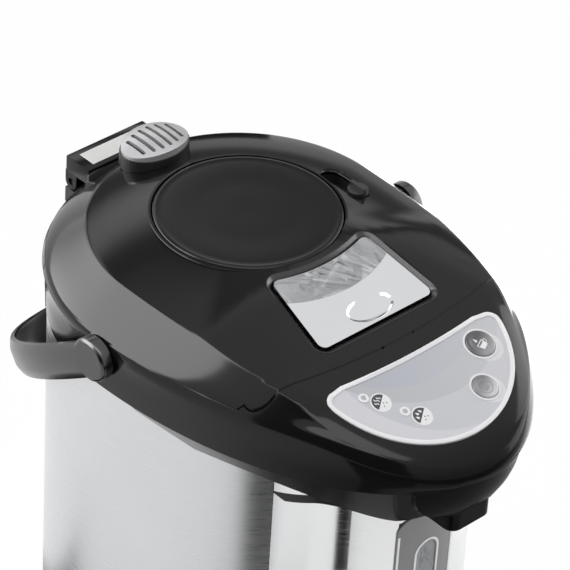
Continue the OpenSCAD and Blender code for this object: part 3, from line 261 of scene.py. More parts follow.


# panel: printed curved bands of grey, the whole lighter towards the right, and a pale painted highlight at
# each button's lower right, under a clear film
def panelPaint():
    shader = Shader("panelPrintGrey", specular=0.4, coat=0.3, coatRoughness=0.08)
    u, v = deckAxes(shader)

    def inside(centreX, centreY, radius, soft=0.0004):
        return (((u - centreX) ** 2 + (v - centreY) ** 2) ** 0.5).under(radius, soft)

    colour = shader.mix(shader.noise(9, 2), (0.62, 0.62, 0.66), (0.7, 0.7, 0.735))
    colour = shader.mix(inside(0.011, -0.001, 0.0563), colour, (0.56, 0.565, 0.605))
    colour = shader.mix(inside(0.008, 0.0266, 0.0624), colour, (0.465, 0.475, 0.495))
    colour = shader.mix(inside(0.0015, 0.0337, 0.057), colour, (0.43, 0.445, 0.5))
    # the grey grows lighter towards the right
    fade = shader.add("ShaderNodeMapRange", {}, {"Value": u, "From Min": -0.05, "From Max": 0.05})
    colour = shader.mix(fade * 0.5, colour, (0.66, 0.66, 0.69))
    # painted highlight: a pale disc off to the lower right of each button, where light catches the panel
    # round it
    for x, y, r in ((0.0408, -0.0222, 0.0091), (0.0246, -0.0438, 0.0082)):
        colour = shader.mix(inside(x, y, r, 0.0002), colour, (0.74, 0.74, 0.76))
    grain = shader.noise(700, 3)
    shader.set(colour=shader.mix(grain * 0.12, colour, (0.3, 0.3, 0.33)), roughness=0.27 + 0.1 * grain)
    shader.bump(shader.noise(1400, 2), 0.000003)
    return shader.material


# painted shade: a button's face runs from dark at its upper left to pale at its lower right, the light and
# shade on its dish painted into its colour
def shadedButton(name, spot, dark, pale):
    shader = Shader(name, specular=0.5, coat=0.25, coatRoughness=0.1)
    u, v = deckAxes(shader)
    run = ((u - spot[0] * 0.001) * 0.55 - (v - spot[1] * 0.001) * 0.835) / (spot[2] * 0.001)
    share = shader.add("ShaderNodeMapRange", {"interpolation_type": "SMOOTHSTEP"},
                       {"Value": run, "From Min": -0.55, "From Max": 1.0})
    grain = shader.noise(800, 3)
    shader.set(colour=shader.mix(share, dark, pale), roughness=0.28 + 0.12 * grain)
    shader.bump(grain, 0.000004)
    return shader.material


# ---- geometry helpers, in millimetres ----
def linked(name, data):  # a new object in the scene
    piece = bpy.data.objects.new(name, data)
    bpy.context.scene.collection.objects.link(piece)
    return piece


def matrixAt(origin, tilt):
    return Matrix.Translation(Vector(origin)) @ Matrix.Rotation(math.radians(tilt), 4, "X")


def sideways(x, y, z, flip=1):  # places a shape's own Z along X
    return Matrix.Translation(Vector((x, y, z))) @ Matrix.Rotation(math.radians(90 * flip), 4, "Y")


def makeMesh(name, points, faces, place=None):
    place = place or Matrix.Identity(4)
    mesh = bpy.data.meshes.new(name)
    mesh.from_pydata([(place @ Vector(p)) * 0.001 for p in points], [], faces)
    mesh.update()
    return linked(name, mesh)


def fromBmesh(name, mesh):
    data = bpy.data.meshes.new(name)
    mesh.to_mesh(data)
    mesh.free()
    return linked(name, data)


def loft(name, rings, top=None, place=None):
    count = len(rings[0])
    points = [p for ring in rings for p in ring]
    faces = []
    for j in range(len(rings) - 1):
        for i in range(count):
            a, b = j * count + i, j * count + (i + 1) % count
            faces.append((a, b, b + count, a + count))
    faces.append(tuple(range(count - 1, -1, -1)))
    last = (len(rings) - 1) * count
    if top is None:
        faces.append(tuple(range(last, last + count)))
    else:
        points.append(top)
        faces += [(last + i, last + (i + 1) % count, len(points) - 1) for i in range(count)]
    return makeMesh(name, points, faces, place)


def prism(name, outline, low, high, place=None):
    return loft(name, [[(x, y, low) for x, y in outline], [(x, y, high) for x, y in outline]], None, place)


def oval(a, b, count=96, centre=(0, 0)):
    return [(centre[0] + a * math.cos(2 * math.pi * i / count),
             centre[1] + b * math.sin(2 * math.pi * i / count)) for i in range(count)]


def circle(radius, count=96, centre=(0, 0)):
    return oval(radius, radius, count, centre)


def arc(centre, radius, start, end, steps=8):
    turns = [math.radians(start + (end - start) * k / steps) for k in range(steps + 1)]
    return [(centre[0] + radius * math.cos(a), centre[1] + radius * math.sin(a)) for a in turns]


def stadium(x, y0, y1, r):
    return arc((x, y1), r, 0, 180, 16) + arc((x, y0), r, 180, 360, 16)


def lathe(name, profile, count=128, place=None):
    rings = [[(r * math.cos(2 * math.pi * i / count), r * math.sin(2 * math.pi * i / count), z)
              for i in range(count)] for r, z in profile]
    return loft(name, rings, None, place)


def box(name, low, high):
    outline = [(low[0], low[1]), (high[0], low[1]), (high[0], high[1]), (low[0], high[1])]
    return prism(name, outline, low[2], high[2])


def settle(piece):  # fixes what the modifiers make
    graph = bpy.context.evaluated_depsgraph_get()
    mesh = bpy.data.meshes.new_from_object(piece.evaluated_get(graph))
    piece.modifiers.clear()
    piece.data = mesh
    return piece


def carve(piece, tool, operation="DIFFERENCE"):
    change = piece.modifiers.new("carve", "BOOLEAN")
    change.operation = operation
    change.object = tool
    change.solver = "MANIFOLD"
    settle(piece)
    bpy.data.objects.remove(tool)
    return piece


def smooth(piece, angle=32):
    piece.data.shade_smooth()
    piece.data.set_sharp_from_angle(angle=math.radians(angle))
    return piece


def soften(piece, width, angle=40, segments=2):
    change = piece.modifiers.new("edge", "BEVEL")
    change.width = width * 0.001
    change.segments = segments
    change.limit_method = "ANGLE"
    change.angle_limit = math.radians(angle)
    change.use_clamp_overlap = True
    change.harden_normals = False
    return settle(piece)


def finishPiece(piece, body, material, stands, angle=32):
    if angle:
        smooth(piece, angle)
    piece.data.materials.clear()
    piece.data.materials.append(material)
    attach(piece, body)
    if stands:
        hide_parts(*stands)
    return piece


def joined(name, pieces):
    mesh = bmesh.new()
    for piece in pieces:
        mesh.from_mesh(piece.data)
        bpy.data.objects.remove(piece)
    return fromBmesh(name, mesh)


def ringPiece(name, centre, outer, inner, low, high, place=None):
    piece = prism(name, circle(outer, 72, centre), low, high, place)
    return carve(piece, prism("hole", circle(inner, 72, centre), low - 1, high + 1, place))


makeCamera(cameraView)
for lampName, lampData in lamps.items():
    makeLamp(lampName, *lampData)

# ---- floor and surround ----
world = bpy.data.worlds.new("surround")
bpy.context.scene.world = world
world.use_nodes = True
worldTree = world.node_tree
paper = worldTree.nodes["Background"]
rays = worldTree.nodes.new("ShaderNodeLightPath")
seen = rays.outputs["Is Camera Ray"]
for rayKind in ("Is Glossy Ray", "Is Transmission Ray"):
    either = worldTree.nodes.new("ShaderNodeMath")
    either.operation = "MAXIMUM"
    worldTree.links.new(seen, either.inputs[0])
    worldTree.links.new(rays.outputs[rayKind], either.inputs[1])
    seen = either.outputs[0]
strength = worldTree.nodes.new("ShaderNodeMapRange")
strength.inputs["To Min"].default_value = surround["diffuse"]
strength.inputs["To Max"].default_value = surround["seen"]
worldTree.links.new(seen, strength.inputs["Value"])
worldTree.links.new(strength.outputs[0], paper.inputs["Strength"])
paper.inputs["Color"].default_value = (1, 1, 1, 1)

floor = makeMesh("floor", level((-9000, -9000), (9000, 9000), 0), [(0, 1, 2, 3)])
floorShader = Shader("floorPaper", colour=(0.92, 0.92, 0.92), roughness=0.9, specular=0.0)
glow = floorShader.tree.nodes.new("ShaderNodeEmission")
floorRays = floorShader.tree.nodes.new("ShaderNodeLightPath")
floorMix = floorShader.tree.nodes.new("ShaderNodeMixShader")
bright = (Amount(floorShader, floorRays.outputs["Is Camera Ray"])
          + Amount(floorShader, floorRays.outputs["Is Glossy Ray"])
          + Amount(floorShader, floorRays.outputs["Is Transmission Ray"])) * surround["floorGlow"]
floorShader.tree.links.new(bright.socket, floorMix.inputs[0])
floorShader.tree.links.new(floorShader.surface.outputs[0], floorMix.inputs[1])
floorShader.tree.links.new(glow.outputs[0], floorMix.inputs[2])
floorShader.tree.links.new(floorMix.outputs[0], floorShader.tree.nodes["Material Output"].inputs[0])
floor.data.materials.append(floorShader.material)


def makeCard(name, glow, corners, fade):
    shader = Shader(name + "Paper", colour=(0.002, 0.002, 0.002), roughness=1.0, specular=0.0)
    colour = shader.mix(fade(*shader.axes()), (0, 0, 0), (1, 1, 1)) if fade else (1, 1, 1)
    shader.feed(shader.surface.inputs["Emission Color"], colour)
    shader.feed(shader.surface.inputs["Emission Strength"], glow)
    card = makeMesh(name, [[1000 * c for c in corner] for corner in corners], [(0, 1, 2, 3)])
    card.data.materials.append(shader.material)
    card.visible_camera = card.visible_diffuse = card.visible_shadow = card.visible_transmission = False


for cardName, cardData in cards.items():
    makeCard(cardName, *cardData)

bpy.context.scene.view_settings.view_transform = "Standard"
print("camera, light and floor made")

# ---- materials ----
# across the panel, up its slope, and radius
buttonSpots = {"dispense": (38.6, -19.4, 8), "unlock": (22.6, -41.3, 7)}
coats = {
    "gloss": glossPaint("glossBlack", (0.005, 0.005, 0.0053), 0.11),
    "satin": plastic("satinBlack", (0.014, 0.014, 0.0145), 0.38, 0.35, 0.000012, 0.3),
    "base": plastic("baseBlack", (0.012, 0.012, 0.0125), 0.45, 0.3, 0.00002, 0.3),
    "chrome": plastic("chromePlate", (0.665, 0.672, 0.69), 0.09, 1.5, 0.0000008, 0.03, metallic=1.0),
    "steel": metal("brushedBody", (0.66, 0.665, 0.675), 0.3, (1, 1, 40), 40, 0.000006),
    "column": metal("brushedColumn", (0.8, 0.805, 0.81), 0.24, (1, 1, 40), 40, 0.000006),
    "plain": metal("drawnSteel", (0.6, 0.61, 0.62), 0.26, (1, 1, 6), 60, 0.000005),
    "pin": metal("turnedSteel", (0.62, 0.62, 0.63), 0.22, (4, 4, 1), 90, 0.000004),
    "zinc": metal("zincPlate", (0.46, 0.47, 0.49), 0.38, (1, 1, 1), 120, 0.000008),
    "aluminium": metal("castAluminium", (0.55, 0.56, 0.57), 0.42, (1, 1, 1), 220, 0.00002),
    "silver": plastic("silverPaint", (0.52, 0.52, 0.53), 0.34, 0.25, 0.00001, 0.12, metallic=0.55),
    "under": glossPaint("underBlack", (0.003, 0.003, 0.0033), 0.16),
    "handle": plastic("handleBlack", (0.006, 0.006, 0.0065), 0.24, 0.8, 0.000005, 0.2, specular=0.9),
    "disc": glossPaint("discBlack", (0.006, 0.006, 0.0063), 0.14),
    "markGrey": plastic("markGrey", (0.3, 0.3, 0.31), 0.35, 0.6, 0.000004, 0.05),
    # both button faces carry painted shade, dark to pale across the face
    "dispense": shadedButton("dispenseFace", buttonSpots["dispense"], (0.07, 0.07, 0.075),
                             (0.34, 0.34, 0.35)),
    "unlock": shadedButton("unlockFace", buttonSpots["unlock"], (0.2, 0.2, 0.21), (0.6, 0.6, 0.61)),
    "panel": panelPaint(),
    "frame": plastic("leverFrame", (0.02, 0.02, 0.021), 0.24, 0.6, 0.000004, 0.15, specular=0.6),
    "gaugeGrey": plastic("gaugeGrey", (0.21, 0.21, 0.215), 0.4, 0.3, 0.00001, 0.12),
    "seal": plastic("sealSilicone", (0.55, 0.53, 0.49), 0.55, 0.4, 0.00001, 0.12),
    "foot": plastic("footRubber", (0.018, 0.018, 0.019), 0.7, 0.25, 0.00004, 0.3),
    "hose": plastic("hoseSilicone", (0.6, 0.61, 0.62), 0.35, 0.5, 0.00001, 0.1, transmission=0.4),
    "liner": plastic("linerGrey", (0.035, 0.035, 0.037), 0.4, 0.3, 0.00001, 0.2),
    "pump": plastic("pumpBlack", (0.03, 0.031, 0.033), 0.5, 0.2, 0.00003, 0.3),
    "rotor": plastic("rotorWhite", (0.7, 0.69, 0.66), 0.35, 0.3, 0.00001, 0.08),
    "board": plastic("boardGreen", (0.02, 0.11, 0.035), 0.35, 0.6, 0.00002, 0.35),
    "ceramic": plastic("thermostatBody", (0.64, 0.62, 0.56), 0.5, 0.3, 0.00002, 0.12),
    "socket": plastic("socketBlack", (0.011, 0.011, 0.0115), 0.42, 0.25, 0.00003, 0.3),
    "white": plastic("printWhite", (0.83, 0.83, 0.84), 0.32, 0.6, 0.000004, 0.03),
    "ink": plastic("printInk", (0.05, 0.05, 0.055), 0.32, 0.6, 0.000004, 0.1),
    "pale": plastic("printPale", (0.48, 0.48, 0.5), 0.3, 0.6, 0.000004, 0.05),
    "labelPaper": plastic("labelPaper", (0.62, 0.62, 0.61), 0.55, 0.5, 0.00001, 0.06),
    "clear": plastic("gaugeClear", (0.8, 0.83, 0.85), 0.06, 1.0, 0.000003, 0.03, transmission=0.85, ior=1.49),
    "glass": plastic("tubeGlass", (0.9, 0.93, 0.94), 0.03, 1.0, 0.000002, 0.03, transmission=0.95, ior=1.47),
}
nodeCoats = {
    "base": ["swivel_stand", "base_housing", "bottom_cover"], "foot": ["rubber_feet"],
    "zinc": ["swivel_retainer", "base_screws", "pump_motor", "latch_strike", "latch_bolt"],
    "board": ["power_board", "control_board"], "socket": ["power_inlet"], "aluminium": ["heater_plate"],
    "ceramic": ["thermostats"], "pump": ["pump_housing"],
    "pin": ["rotor_pin", "hinge_pin", "bail_pins", "lever_pin", "pump_spring"],
    "rotor": ["pump_rotor"], "hose": ["inlet_hose", "outlet_hose", "spout_hose"],
    "steel": ["outer_shell"], "column": ["front_column"], "gaugeGrey": ["gauge_trim"],
    "clear": ["gauge_window"],
    "glass": ["level_tube"], "seal": ["lower_joint", "upper_joint", "rim_gasket", "lid_seal", "bellows"],
    "plain": ["inner_pot", "inner_lid"], "gloss": ["head_housing", "spout_cover", "lid_shell", "carry_bail"],
    "satin": ["spout_nozzle", "hinge_bracket", "lock_tray", "lock_knob", "vent_housing", "pump_disc"],
    "white": ["panel_border"], "pale": ["indicator_lenses"], "panel": ["control_panel"],
    "dispense": ["dispense_button"], "unlock": ["unlock_button"],
    "frame": ["lever_tray"], "chrome": ["lid_lever"], "liner": ["lid_liner"], "silver": ["vent_cap"],
}
for coatName, members in nodeCoats.items():
    for nodeName in members:
        node = nodes[nodeName]
        if not node.material_slots:
            node.data.materials.append(coats[coatName])
        for nodeSlot in node.material_slots:
            nodeSlot.material = coats[coatName]
print("materials made:", len(coats))

# ---- head and lid skins ----
skin = {
    "footR": 104.9, "headR": 105.5, "seamR": 105.3, "creaseR": 84.5,
    "chinReach": 185, "headReach": 190, "seamReach": 188, "creaseReach": 181,
    "footZ": 310, "bellyZ": 330, "seamZ": 341, "topZ": 370, "drop": 9,
    "kneeY": 60, "deckY": 118, "kneeSlope": 0.2466, "deckTilt": 19.3,
    "around": 180, "wall": 2.5, "blend": 2.0, "roll": 3.4,
}
# ring places up the side, in spans between its four points, and in over the top
skinStations = [0, 0.3, 0.65, 1, 1.35, 1.7, 2, 2.1, 2.25, 2.4, 2.6, 2.78, 2.9, 2.96]
topShares = [0.985, 0.97, 0.955, 0.94, 0.925, 0.91, 0.88, 0.8, 0.72, 0.64, 0.56, 0.48, 0.4, 0.3, 0.2, 0.1]
deckSlope = math.tan(math.radians(skin["deckTilt"]))
fallLength = skin["deckY"] - skin["kneeY"]
deckZ = skin["topZ"] - (skin["kneeSlope"] + deckSlope) / 2 * fallLength
deckPlace = matrixAt((0, -skin["deckY"], deckZ), skin["deckTilt"])


def deckHeight(y):
    run = -y - skin["kneeY"]
    if run <= 0:
        return skin["topZ"]
    if run < fallLength:
        bend = (deckSlope - skin["kneeSlope"]) * run * run / 2 / fallLength
        return skin["topZ"] - skin["kneeSlope"] * run - bend
    return deckZ - deckSlope * (-y - skin["deckY"])


def sideShare(y):
    return max(0.0, min(1.0, (skin["deckY"] + y) / fallLength))


def frontShare(y):
    t = max(0.0, min(1.0, (-y - 112) / 25))
    return t * t * (3 - 2 * t)


def softMin(a, b):
    k = skin["blend"]
    return min(a, b) - k * math.log(1 + math.exp(-abs(a - b) / k))


def eggPoint(radius, reach, power, angle):
    c, s = math.cos(angle), math.sin(angle)
    if s >= 0:
        return radius * c, radius * s
    k = (abs(c) ** power + abs(s) ** power) ** (-1 / power)
    return radius * k * c, reach * k * s


def topPoint(angle, share, inset=0.0, sink=0.0):
    x, y = eggPoint(skin["creaseR"] - inset, skin["creaseReach"] - inset, 2.6, angle)
    z = deckHeight(y * share) - skin["drop"] * share ** 3 * sideShare(y) - sink
    z -= skin["roll"] * frontShare(y) * max(0.0, (share - 0.91) / 0.09) ** 2
    return Vector((x * share, y * share, z))


def sidePoints(angle, inset=0.0, sink=0.0):
    fx, fy = eggPoint(skin["footR"] - inset, skin["chinReach"] - inset, 2, angle)
    bx, by = eggPoint(skin["headR"] - inset, skin["headReach"] - inset, 2, angle)
    sx, sy = eggPoint(skin["seamR"] - inset, skin["seamReach"] - inset, 1.93, angle)
    belly = softMin(skin["bellyZ"], deckHeight(by) - 13)
    seam = softMin(skin["seamZ"] + 0.01, deckHeight(sy) - 5)
    return [Vector((fx, fy, skin["footZ"])), Vector((bx, by, belly)), Vector((sx, sy, seam - sink)),
            topPoint(angle, 1.0, inset, sink)]


def through(points, at):  # a smooth curve through the points, at counted in spans
    index = min(int(at), len(points) - 2)
    t = at - index
    a = points[index - 1] if index else points[0] * 2 - points[1]
    b, c = points[index], points[index + 1]
    d = points[index + 2] if index + 2 < len(points) else points[-1] * 2 - points[-2]
    return 0.5 * ((2 * b) + (c - a) * t + (2 * a - 5 * b + 4 * c - d) * t * t
                  + (3 * b - a - 3 * c + d) * t ** 3)


def skinRings(inset=0.0, sink=0.0, footDrop=0.0):
    rings = []
    angles = [2 * math.pi * i / skin["around"] for i in range(skin["around"])]
    sides = [sidePoints(a, inset, sink) for a in angles]
    if footDrop:
        rings.append([side[0] - Vector((0, 0, footDrop)) for side in sides])
    for at in skinStations:
        rings.append([through(side, at) for side in sides])
    # the crease is rounded off between the bevel and the top
    rings.append([0.7 * side[3] + 0.15 * through(side, 2.975) + 0.15 * topPoint(a, 0.992, inset, sink)
                  for a, side in zip(angles, sides)])
    for share in topShares:
        rings.append([topPoint(a, share, inset, sink) for a in angles])
    return rings


def skinSolid(name, inset=0.0, sink=0.0, footDrop=0.0):
    return loft(name, skinRings(inset, sink, footDrop), Vector((0, 0, skin["topZ"] - sink)))


def cleanNormals(piece, whole):  # a cut face shades like the whole surface it came from
    smooth(piece, 30)
    smooth(whole, 30)
    change = piece.modifiers.new("normals", "DATA_TRANSFER")
    change.object = whole
    change.use_loop_data = True
    change.data_types_loops = {"CUSTOM_NORMAL"}
    change.loop_mapping = "POLYINTERP_NEAREST"
    change.use_max_distance = True
    change.max_distance = 0.00004
    settle(piece)
    bpy.data.objects.remove(whole)
    return piece


lidCut = {"seamY": 114.5, "arcR": 430, "cornerR": 11, "cornerX": 76, "cornerY": -96.5}


def lidPlan(grow):
    arcX = lidCut["cornerX"] - 2
    front = []
    for i in range(-12, 13):
        x = arcX * i / 12
        front.append((x, -lidCut["seamY"] - grow + lidCut["arcR"] - math.sqrt(lidCut["arcR"] ** 2 - x * x)))
    right = arc((lidCut["cornerX"], lidCut["cornerY"]), lidCut["cornerR"] + grow, -75, 0, 7)
    right += [(140, lidCut["cornerY"] + 43), (140, 140)]
    return [(-x, y) for x, y in reversed(right)] + front + right


leverShape = {
    "rear": 34.5, "front": 39.4, "length": 45.8, "corner": 5, "y": -57.3, "back": 3.6, "bite": 3.9,
}
leverRun = leverShape["length"] * 0.96
leverFall = deckHeight(leverShape["y"]) - deckHeight(leverShape["y"] - leverRun)
leverTilt = math.degrees(math.atan(leverFall / leverRun))
leverPlace = matrixAt((0, leverShape["y"], deckHeight(leverShape["y"]) - 0.3), leverTilt)


def leverPlan(grow):
    s = leverShape
    r = s["corner"] + grow
    flare = math.degrees(math.atan((s["front"] - s["rear"]) / s["length"]))
    fx, rx = s["front"] - s["corner"], s["rear"] - s["corner"]
    rearY = s["back"] - s["corner"]
    right = arc((fx, -s["length"] + s["corner"]), r, -90, flare) + arc((rx, rearY), r, flare, 106, 12)
    endX, endY = right[-1]
    rear = []
    for k in range(1, 24):  # the rear edge follows the pump disc
        x = endX * (1 - k / 12)
        rear.append((x, endY - s["bite"] * (1 - (x / endX) ** 2)))
    return right + rear + [(-x, y) for x, y in reversed(right)]


zoneTop, toolTop = 420, 400
lidParts = {
    "gap": 0.65, "lift": 0.45, "tubeR": 52.2, "tubeZ": (349, 369.6), "wellR": 51,
    "lever": 3.1, "leverDeep": 16,
    "lock": (60, -20, 0, 6.5), "lockZ": 351, "vent": (17.5, 11), "ventY": 75, "ventZ": 347,
    "bolt": ((-12.5, -118, 342.5), (12.5, -107, 346.7)),
}
hingeParts = {
    "box": ((-27, 97, 343), (27, 116, 353)), "axis": (111.5, 338), "lugs": (-27, 11.8), "lugWide": 15.2,
    "lug": (107.0, 116, 344), "knuckleR": 4.5, "pinR": 2.05, "edge": 0.8,
}


def makeHinge():  # hinge box and its knuckles
    h = hingeParts
    hinge = box("hingeBox", *h["box"])
    soften(hinge, h["edge"])
    for x0 in h["lugs"]:
        x1 = x0 + h["lugWide"]
        lug = box("lug", (x0, h["lug"][0], h["axis"][1]), (x1, *h["lug"][1:]))
        carve(hinge, lug, "UNION")
        knuckle = prism("knuckle", circle(h["knuckleR"], 48), 0, h["lugWide"], sideways(x0, *h["axis"]))
        carve(hinge, knuckle, "UNION")
    carve(hinge, prism("pinHole", circle(h["pinR"], 40), -5, 60, sideways(h["lugs"][0], *h["axis"])))
    return carve(hinge, skinSolid("inside", skin["wall"], skin["wall"], 4))


def makeLid():
    p = lidParts
    lid = skinSolid("lidSkin")
    carve(lid, prism("zone", lidPlan(-p["gap"]), skin["seamZ"] + p["lift"], zoneTop), "INTERSECT")
    hollow = skinSolid("lidHollow", skin["wall"], skin["wall"], 4)
    carve(hollow, prism("zone", lidPlan(-skin["wall"]), skin["seamZ"] - 1, zoneTop), "INTERSECT")
    carve(lid, hollow)
    carve(lid, prism("tube", circle(p["tubeR"], 128), *p["tubeZ"]), "UNION")
    for tool in (prism("well", circle(p["wellR"], 160), 340, toolTop),
                 prism("lever", leverPlan(p["lever"]), -p["leverDeep"], 30, leverPlace),
                 prism("lock", stadium(*p["lock"]), p["lockZ"], toolTop),
                 prism("vent", oval(*p["vent"], 64, (0, p["ventY"])), p["ventZ"], toolTop),
                 box("bolt", *p["bolt"])):
        carve(lid, tool)
    return carve(lid, makeHinge(), "UNION")


lidPiece = makeLid()
soften(lidPiece, 0.45, 50, 2)
cleanNormals(lidPiece, skinSolid("whole"))
finishPiece(lidPiece, "lid", coats["gloss"], ["lid_shell"], None)
lidPiece.name = "lidShell"
print("lid made", len(lidPiece.data.polygons))

# ---- black head with the panel's recess ----
panelShape = {
    "halfWidth": 61, "length": 55.5, "start": 5, "tip": 7, "border": 2.5, "rearR": 500, "deep": 1.6,
    "lamps": [(-39.7, -15.6), (-25.6, -32.3)], "lampR": 2.4,
    "icons": [(-33.2, -21.9), (-19.2, -38.7)], "iconR": 5.7, "iconTurn": 38,
}


def panelPlan(grow):
    s = panelShape
    far = s["start"] + s["length"]
    centre = 7 - s["start"]
    low = math.degrees(-math.asin((s["start"] + 9 + centre) / (far + centre)))
    outline = []
    for i in range(65):
        t = math.radians(180 - low + (180 + 2 * low) * i / 64)
        outline.append(((s["halfWidth"] + grow) * math.cos(t), centre + (far + centre + grow) * math.sin(t)))
    tipX, tipY = s["halfWidth"] - s["tip"] - 1.5, -s["start"] - s["tip"] - 1.2
    right = arc((tipX, tipY + 1.2), s["tip"] + grow, 14, 91, 11)
    rear = []
    for i in range(6, -7, -1):
        x = (s["halfWidth"] - s["tip"] - 8) * i / 6
        rear.append((x, -s["start"] + grow - 1.2 + x * x / 2 / s["rearR"]))
    return outline + right + rear + [(-x, y) for x, y in reversed(right)]


# the bail turns about a line along X through this y and z
bailAxis = (-7, 330)
headParts = {
    "gap": 0.55, "drop": 0.4, "shelf": 4.3, "throatR": 95, "throatZ": (306.5, 338.7), "boreR": 92.5,
    "panelGap": 0.2, "holeGap": 0.3, "bossR": 10.5, "bossX": 102.7, "bossDeep": 4, "pinR": 4, "pinX": 95.5,
    "latch": ((-13, -120.5, 342.5), (13, -108.5, 346.7)),
}


def makeHead():
    p, seam = headParts, skin["seamZ"]
    head = skinSolid("headSkin")
    carve(head, prism("zone", lidPlan(p["gap"]), seam - p["drop"], zoneTop))
    hollow = skinSolid("headHollow", skin["wall"], skin["wall"], 8)
    keep = box("keep", (-200, -250, 250), (200, 250, seam - p["shelf"]))
    front = box("frontRoom", (-200, -250, seam - 20), (200, 0, seam + 40))
    carve(front, prism("wallZone", lidPlan(0.3 + skin["wall"]), seam - 30, zoneTop))
    carve(keep, front, "UNION")
    carve(hollow, keep, "INTERSECT")
    carve(head, hollow)
    carve(head, lathe("throat", [(p["throatR"], z) for z in p["throatZ"]]), "UNION")
    carve(head, prism("bore", circle(p["boreR"], 160), 300, zoneTop))
    carve(head, prism("panel", panelPlan(p["panelGap"]), -panelShape["deep"], 20, deckPlace))
    lampHoles = [(*spot, panelShape["lampR"] - 0.2) for spot in panelShape["lamps"]]
    for x, y, r in list(buttonSpots.values()) + lampHoles:
        carve(head, prism("hole", circle(r + p["holeGap"], 64, (x, y)), -10, 20, deckPlace))
    for side in (-1, 1):
        boss = sideways(side * p["bossX"], *bailAxis, side)
        carve(head, prism("boss", circle(p["bossR"], 64), 0, p["bossDeep"], boss), "UNION")
        pin = sideways(side * p["pinX"], *bailAxis, side)
        carve(head, prism("pinHole", circle(p["pinR"], 40), 0, 20, pin))
    carve(head, box("latch", *p["latch"]))
    return head


headPiece = makeHead()
soften(headPiece, 0.35, 50, 2)
cleanNormals(headPiece, skinSolid("whole"))
finishPiece(headPiece, "pot", coats["gloss"], ["head_housing"], None)
headPiece.name = "headShell"
print("head made", len(headPiece.data.polygons))

# ---- underside and spout ----
chin = {
    "halfW": 38, "noseW": 14.5, "front": 178, "noseZ": 286, "blockZ": 275, "slope": 1.35, "columnY": 148,
    "chinY": 177, "rootW": 28, "drawn": 33, "lip": 2.5, "nozzleY": -166, "nozzleR": 6.8, "wall": 3,
}


def hullOf(name, points):
    mesh = bmesh.new()
    for point in points:
        mesh.verts.new(Vector(point) * 0.001)
    bmesh.ops.convex_hull(mesh, input=mesh.verts)
    loose = [v for v in mesh.verts if not v.link_faces]
    bmesh.ops.delete(mesh, geom=loose, context="VERTS")
    bmesh.ops.recalc_face_normals(mesh, faces=mesh.faces)
    return fromBmesh(name, mesh)


def bellySolid(name, inset, lift):
    rings = []
    for step in range(13):
        drawn = chin["drawn"] * (1 - step / 12)
        ring = []
        for i in range(skin["around"]):
            x, y = eggPoint(skin["footR"] - drawn - inset, skin["chinReach"] - drawn - inset, 2,
                            2 * math.pi * i / skin["around"])
            ring.append((x, y, skin["footZ"] + lift - chin["slope"] * drawn))
        rings.append(ring)
    return loft(name, rings)


def chinSolid(name, inset):
    points = []
    foot, edge = skin["footZ"], skin["footZ"] - chin["lip"]
    tall = edge - chin["noseZ"] - 1
    spread = chin["halfW"] - chin["noseW"] + 1
    for i in range(-12, 13):
        x = (chin["halfW"] - inset) * i / 12
        y = -math.sqrt(1 - (x / (skin["footR"] - inset)) ** 2) * (skin["chinReach"] - inset)
        points += [(x, y, foot), (x, y, edge)]
        for t in (0.2, 0.4, 0.6, 0.8, 0.95):  # bulging down to the nose
            bulge = math.sqrt(1 - t * t)
            wide = (chin["noseW"] - 1 + spread * bulge - inset) / chin["halfW"]
            reach = chin["chinY"] + (skin["chinReach"] - chin["chinY"]) * bulge - inset
            bend = math.sqrt(1 - (x * wide / (skin["footR"] - inset)) ** 2)
            points.append((x * wide, -reach * bend, edge - tall * t))
    nose = chin["noseW"] - inset
    block = chin["blockZ"] + inset
    for side in (-1, 1):
        for px, py in circle(3, 32, (side * (nose - 3), -chin["front"] + 3 + inset)):
            points += [(px, py, chin["noseZ"] + k + inset * 0.7) for k in (0, 1)]
        for y in (-chin["columnY"] + 8, -chin["columnY"] + 9):
            points += [(side * nose, y, block - k) for k in (5, 4)]
            points += [(side * (chin["rootW"] - inset), y, foot - k) for k in (3, 0)]
    return hullOf(name, points)


def spoutBlock(name, inset, low):
    r = 6
    w, f = chin["noseW"], chin["front"]
    outline = ([(w - inset, -f + r + 30), (-w + inset, -f + r + 30)]
               + arc((-w + r, -f + r), r - inset, 180, 270) + arc((w - r, -f + r), r - inset, 270, 360))
    return prism(name, outline, low, skin["footZ"] - 12)


column = {"y": -148, "frontR": 85, "cornerR": 22, "halfW": 55, "rootY": -83.2}
column["axisY"] = column["y"] + column["frontR"]


def columnPlan(grow):
    cornerX = column["halfW"] - column["cornerR"]
    inner = column["frontR"] - column["cornerR"]
    cornerY = column["axisY"] - math.sqrt(inner ** 2 - cornerX ** 2)
    reach = math.degrees(math.atan2(cornerY - column["axisY"], cornerX))
    right = arc((cornerX, cornerY), column["cornerR"] + grow, reach, 0, 12)
    right.append((column["halfW"] + grow, column["rootY"] + grow))
    front = arc((0, column["axisY"]), column["frontR"] + grow, 180 - reach, reach, 48)
    return list(reversed(front + right + [(-x, y) for x, y in reversed(right)]))


def makeSpoutCover():
    cover = bellySolid("spoutCover", 0, 0)
    carve(cover, chinSolid("chin", 0), "UNION")
    carve(cover, spoutBlock("block", 0, chin["blockZ"]), "UNION")
    inner = bellySolid("inner", chin["wall"], 0.6)
    carve(inner, box("keepWalls", (-14.6, -185, 0), (14.6, -149, 276)))
    for tool in (inner, chinSolid("chinRoom", chin["wall"]),
                 spoutBlock("blockRoom", skin["wall"], chin["blockZ"] + skin["wall"]),
                 prism("bodyRoom", circle(104.3, 180), 230, 320),
                 prism("columnRoom", columnPlan(0.4), 230, 320),
                 box("rear", (-200, -30, 230), (200, 270, 330)),
                 prism("nozzle", circle(chin["nozzleR"], 64, (0, chin["nozzleY"])), 270, 290)):
        carve(cover, tool)
    return cover


